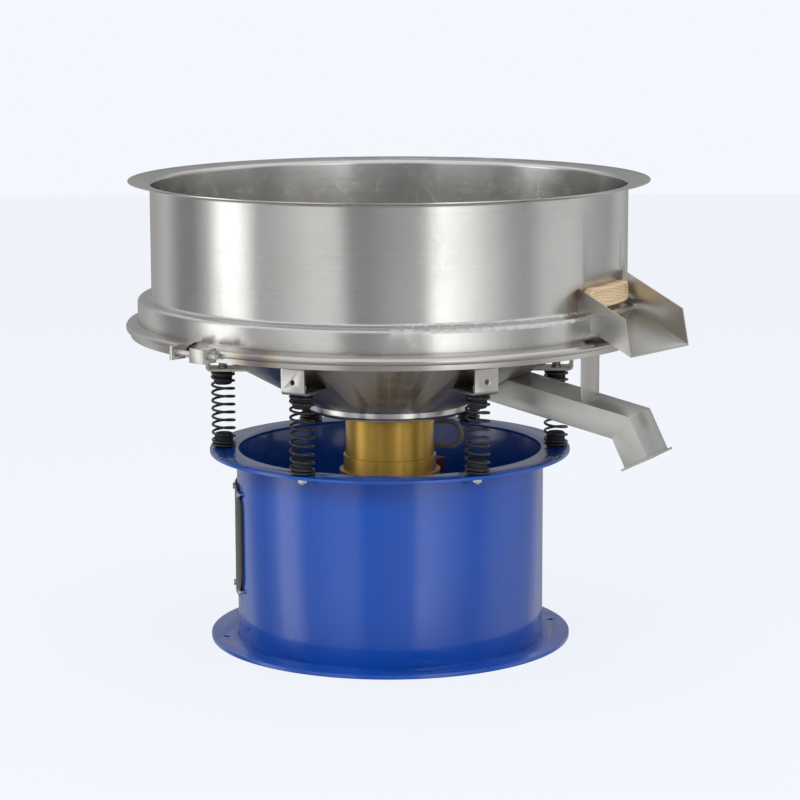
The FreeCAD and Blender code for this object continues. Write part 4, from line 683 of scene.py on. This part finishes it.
def make_springs():
    """Six coils in one piece, standing between the base and the sprung frame."""
    low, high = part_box("spring_1")
    outside = high.y - low.y
    piece = grow("coil_springs", COIL, FINISHES["spring_enamel"], Height=high.z - low.z, Outside=outside,
                 Circle=(low.x + high.x) / 2, Seat=low.z)
    soften(piece, 0, COIL_SMOOTH)
    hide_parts(*(f"spring_{i + 1}" for i in range(6)))
    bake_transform(piece)


def make_spring_fasteners():
    """Studs, washers and hexagon nuts under the spring flange and on the brackets."""
    spring_low, spring_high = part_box("spring_1")
    circle = (spring_low.x + spring_high.x) / 2
    for side, body in (("lower", "base"), ("upper", "vibrating_frame")):
        stud_low, stud_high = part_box(f"{side}_studs")
        nut_low, nut_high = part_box(f"{side}_nuts")
        at = Matrix.Translation((circle, 0, 0))
        studs = Form().thread(STUD_DIAMETER, STUD_PITCH, stud_low.z, stud_high.z, at)
        ring_of(f"{side}_studs_threaded", studs, body, f"{side}_studs", THREAD_SMOOTH)
        down = side == "lower"
        face = nut_high.z - WASHER_THICKNESS if down else nut_low.z
        nut_at = nut_low.z if down else nut_low.z + WASHER_THICKNESS
        washer = ((WASHER_BORE, 0), (WASHER_RADIUS, 0), (WASHER_RADIUS, WASHER_THICKNESS * 0.85),
                  (WASHER_RADIUS - WASHER_CHAMFER, WASHER_THICKNESS), (WASHER_BORE, WASHER_THICKNESS))
        nuts = Form().lathe(washer, Matrix.Translation((circle, 0, face)))
        nuts.nut(NUT_ACROSS, nut_high.z - nut_low.z - WASHER_THICKNESS, NUT_BORE,
                 Matrix.Translation((circle, 0, nut_at)))
        ring_of(f"{side}_nuts_chamfered", nuts, body, f"{side}_nuts", NUT_SMOOTH)


# ---------------------------------------------------------------- stage, light and camera

def make_stage():
    """A pale floor, just under the machine's base."""
    floor_mesh = bmesh.new()
    bmesh.ops.create_grid(floor_mesh, x_segments=1, y_segments=1, size=9)
    data = bpy.data.meshes.new("floor")
    floor_mesh.to_mesh(data)
    floor_mesh.free()
    floor = bpy.data.objects.new("floor", data)
    scene.collection.objects.link(floor)
    floor.location.z = -0.2 * MM
    floor.visible_glossy = False
    s = Surface("pale_floor")
    rays = s.node("ShaderNodeLightPath", output="Is Camera Ray")
    matt = s.node("ShaderNodeBsdfDiffuse", inputs={"Color": (0.78, 0.8, 0.83, 1)})
    glow = s.node("ShaderNodeEmission", inputs={"Color": PALE + (1,), "Strength": 1.0})
    s.node("ShaderNodeOutputMaterial", inputs={
        "Surface": s.node("ShaderNodeMixShader", inputs={0: rays * 0.9, 1: matt, 2: glow})})
    data.materials.append(s.material)


PALE = (0.905, 0.939, 0.991)
# Screens and gaps round the set, by their share of a turn from behind, by the left, to the front and round.
STUDIO_WALL = (
    (0.00, 0.30), (0.08, 0.42), (0.13, 0.62), (0.17, 0.30), (0.205, 0.28), (0.235, 0.62), (0.258, 1.75),
    (0.29, 1.75), (0.318, 0.50), (0.35, 0.62), (0.40, 0.92), (0.43, 0.90), (0.448, 0.34), (0.47, 0.34),
    (0.50, 0.46), (0.545, 0.56), (0.562, 1.75), (0.59, 1.45), (0.63, 0.86), (0.665, 0.50), (0.69, 0.40),
    (0.72, 0.72), (0.77, 0.74), (0.82, 0.50), (0.86, 0.42), (0.90, 0.60), (0.95, 0.36), (1.00, 0.30))


def make_world():
    """A studio that metal reflects, an even light for the rest, and a pale colour behind the machine."""
    world = bpy.data.worlds.new("studio")
    scene.world = world
    world.use_nodes = True
    g = Pattern(world.node_tree, "Generated")
    turn = g.axis("X").maths("ARCTAN2", g.axis("Y") * -1) / math.tau + 0.5
    wall = g.node("ShaderNodeValToRGB", {"stops": STUDIO_WALL}, {"Fac": turn})
    up = g.axis("Z")
    seen = g.mix(up.fade(0.25, 0.75), wall, (0.95, 0.96, 0.98))
    seen = g.mix(up.fade(-0.35, -0.7), seen, (0.34, 0.32, 0.30))
    lit = g.mix(up.fade(-0.3, 0.5), (0.42, 0.42, 0.43), (0.60, 0.62, 0.64))
    colour = g.mix(g.node("ShaderNodeLightPath", output="Is Glossy Ray"), lit, seen)
    colour = g.mix(g.node("ShaderNodeLightPath", output="Is Camera Ray"), colour, PALE)
    background = g.node("ShaderNodeBackground", inputs={"Color": colour})
    g.node("ShaderNodeOutputWorld", inputs={"Surface": background})


def lamp(name, place, size, watts):
    """A soft rectangular lamp turned to the machine, which metal doesn't reflect."""
    aim = Vector((0, 0, 0.5))
    data = bpy.data.lights.new(name, "AREA")
    data.shape = "RECTANGLE"
    data.size, data.size_y = size
    data.energy = watts
    obj = bpy.data.objects.new(name, data)
    scene.collection.objects.link(obj)
    obj.location = place
    obj.rotation_euler = (aim - Vector(place)).to_track_quat("-Z", "Y").to_euler()
    obj.visible_camera = False
    obj.visible_glossy = False


def make_lights():
    lamp("key", (-2.6, -3.0, 3.2), (1.8, 1.8), 75)
    lamp("fill", (3.0, -2.6, 1.8), (1.6, 2.2), 40)
    lamp("top", (0, 0.3, 3.6), (2.4, 2.4), 45)


def make_camera():
    data = bpy.data.cameras.new("camera")
    data.sensor_width = CAMERA_SENSOR
    data.lens = CAMERA_LENS
    data.clip_start, data.clip_end = 0.1, 100
    data.shift_x = CAMERA_SHIFT
    camera = bpy.data.objects.new("camera", data)
    scene.collection.objects.link(camera)
    camera.location = CAMERA_PLACE
    pitch = Matrix.Rotation(math.pi / 2 - math.radians(CAMERA_DOWN), 3, "X")
    roll = Matrix.Rotation(math.radians(CAMERA_ROLL), 3, "Z")
    camera.rotation_euler = (pitch @ roll).to_euler()
    scene.camera = camera


dress_nodes()
make_springs()
make_spring_fasteners()
make_stage()
make_world()
make_lights()
make_camera()

scene.view_settings.view_transform = "Standard"
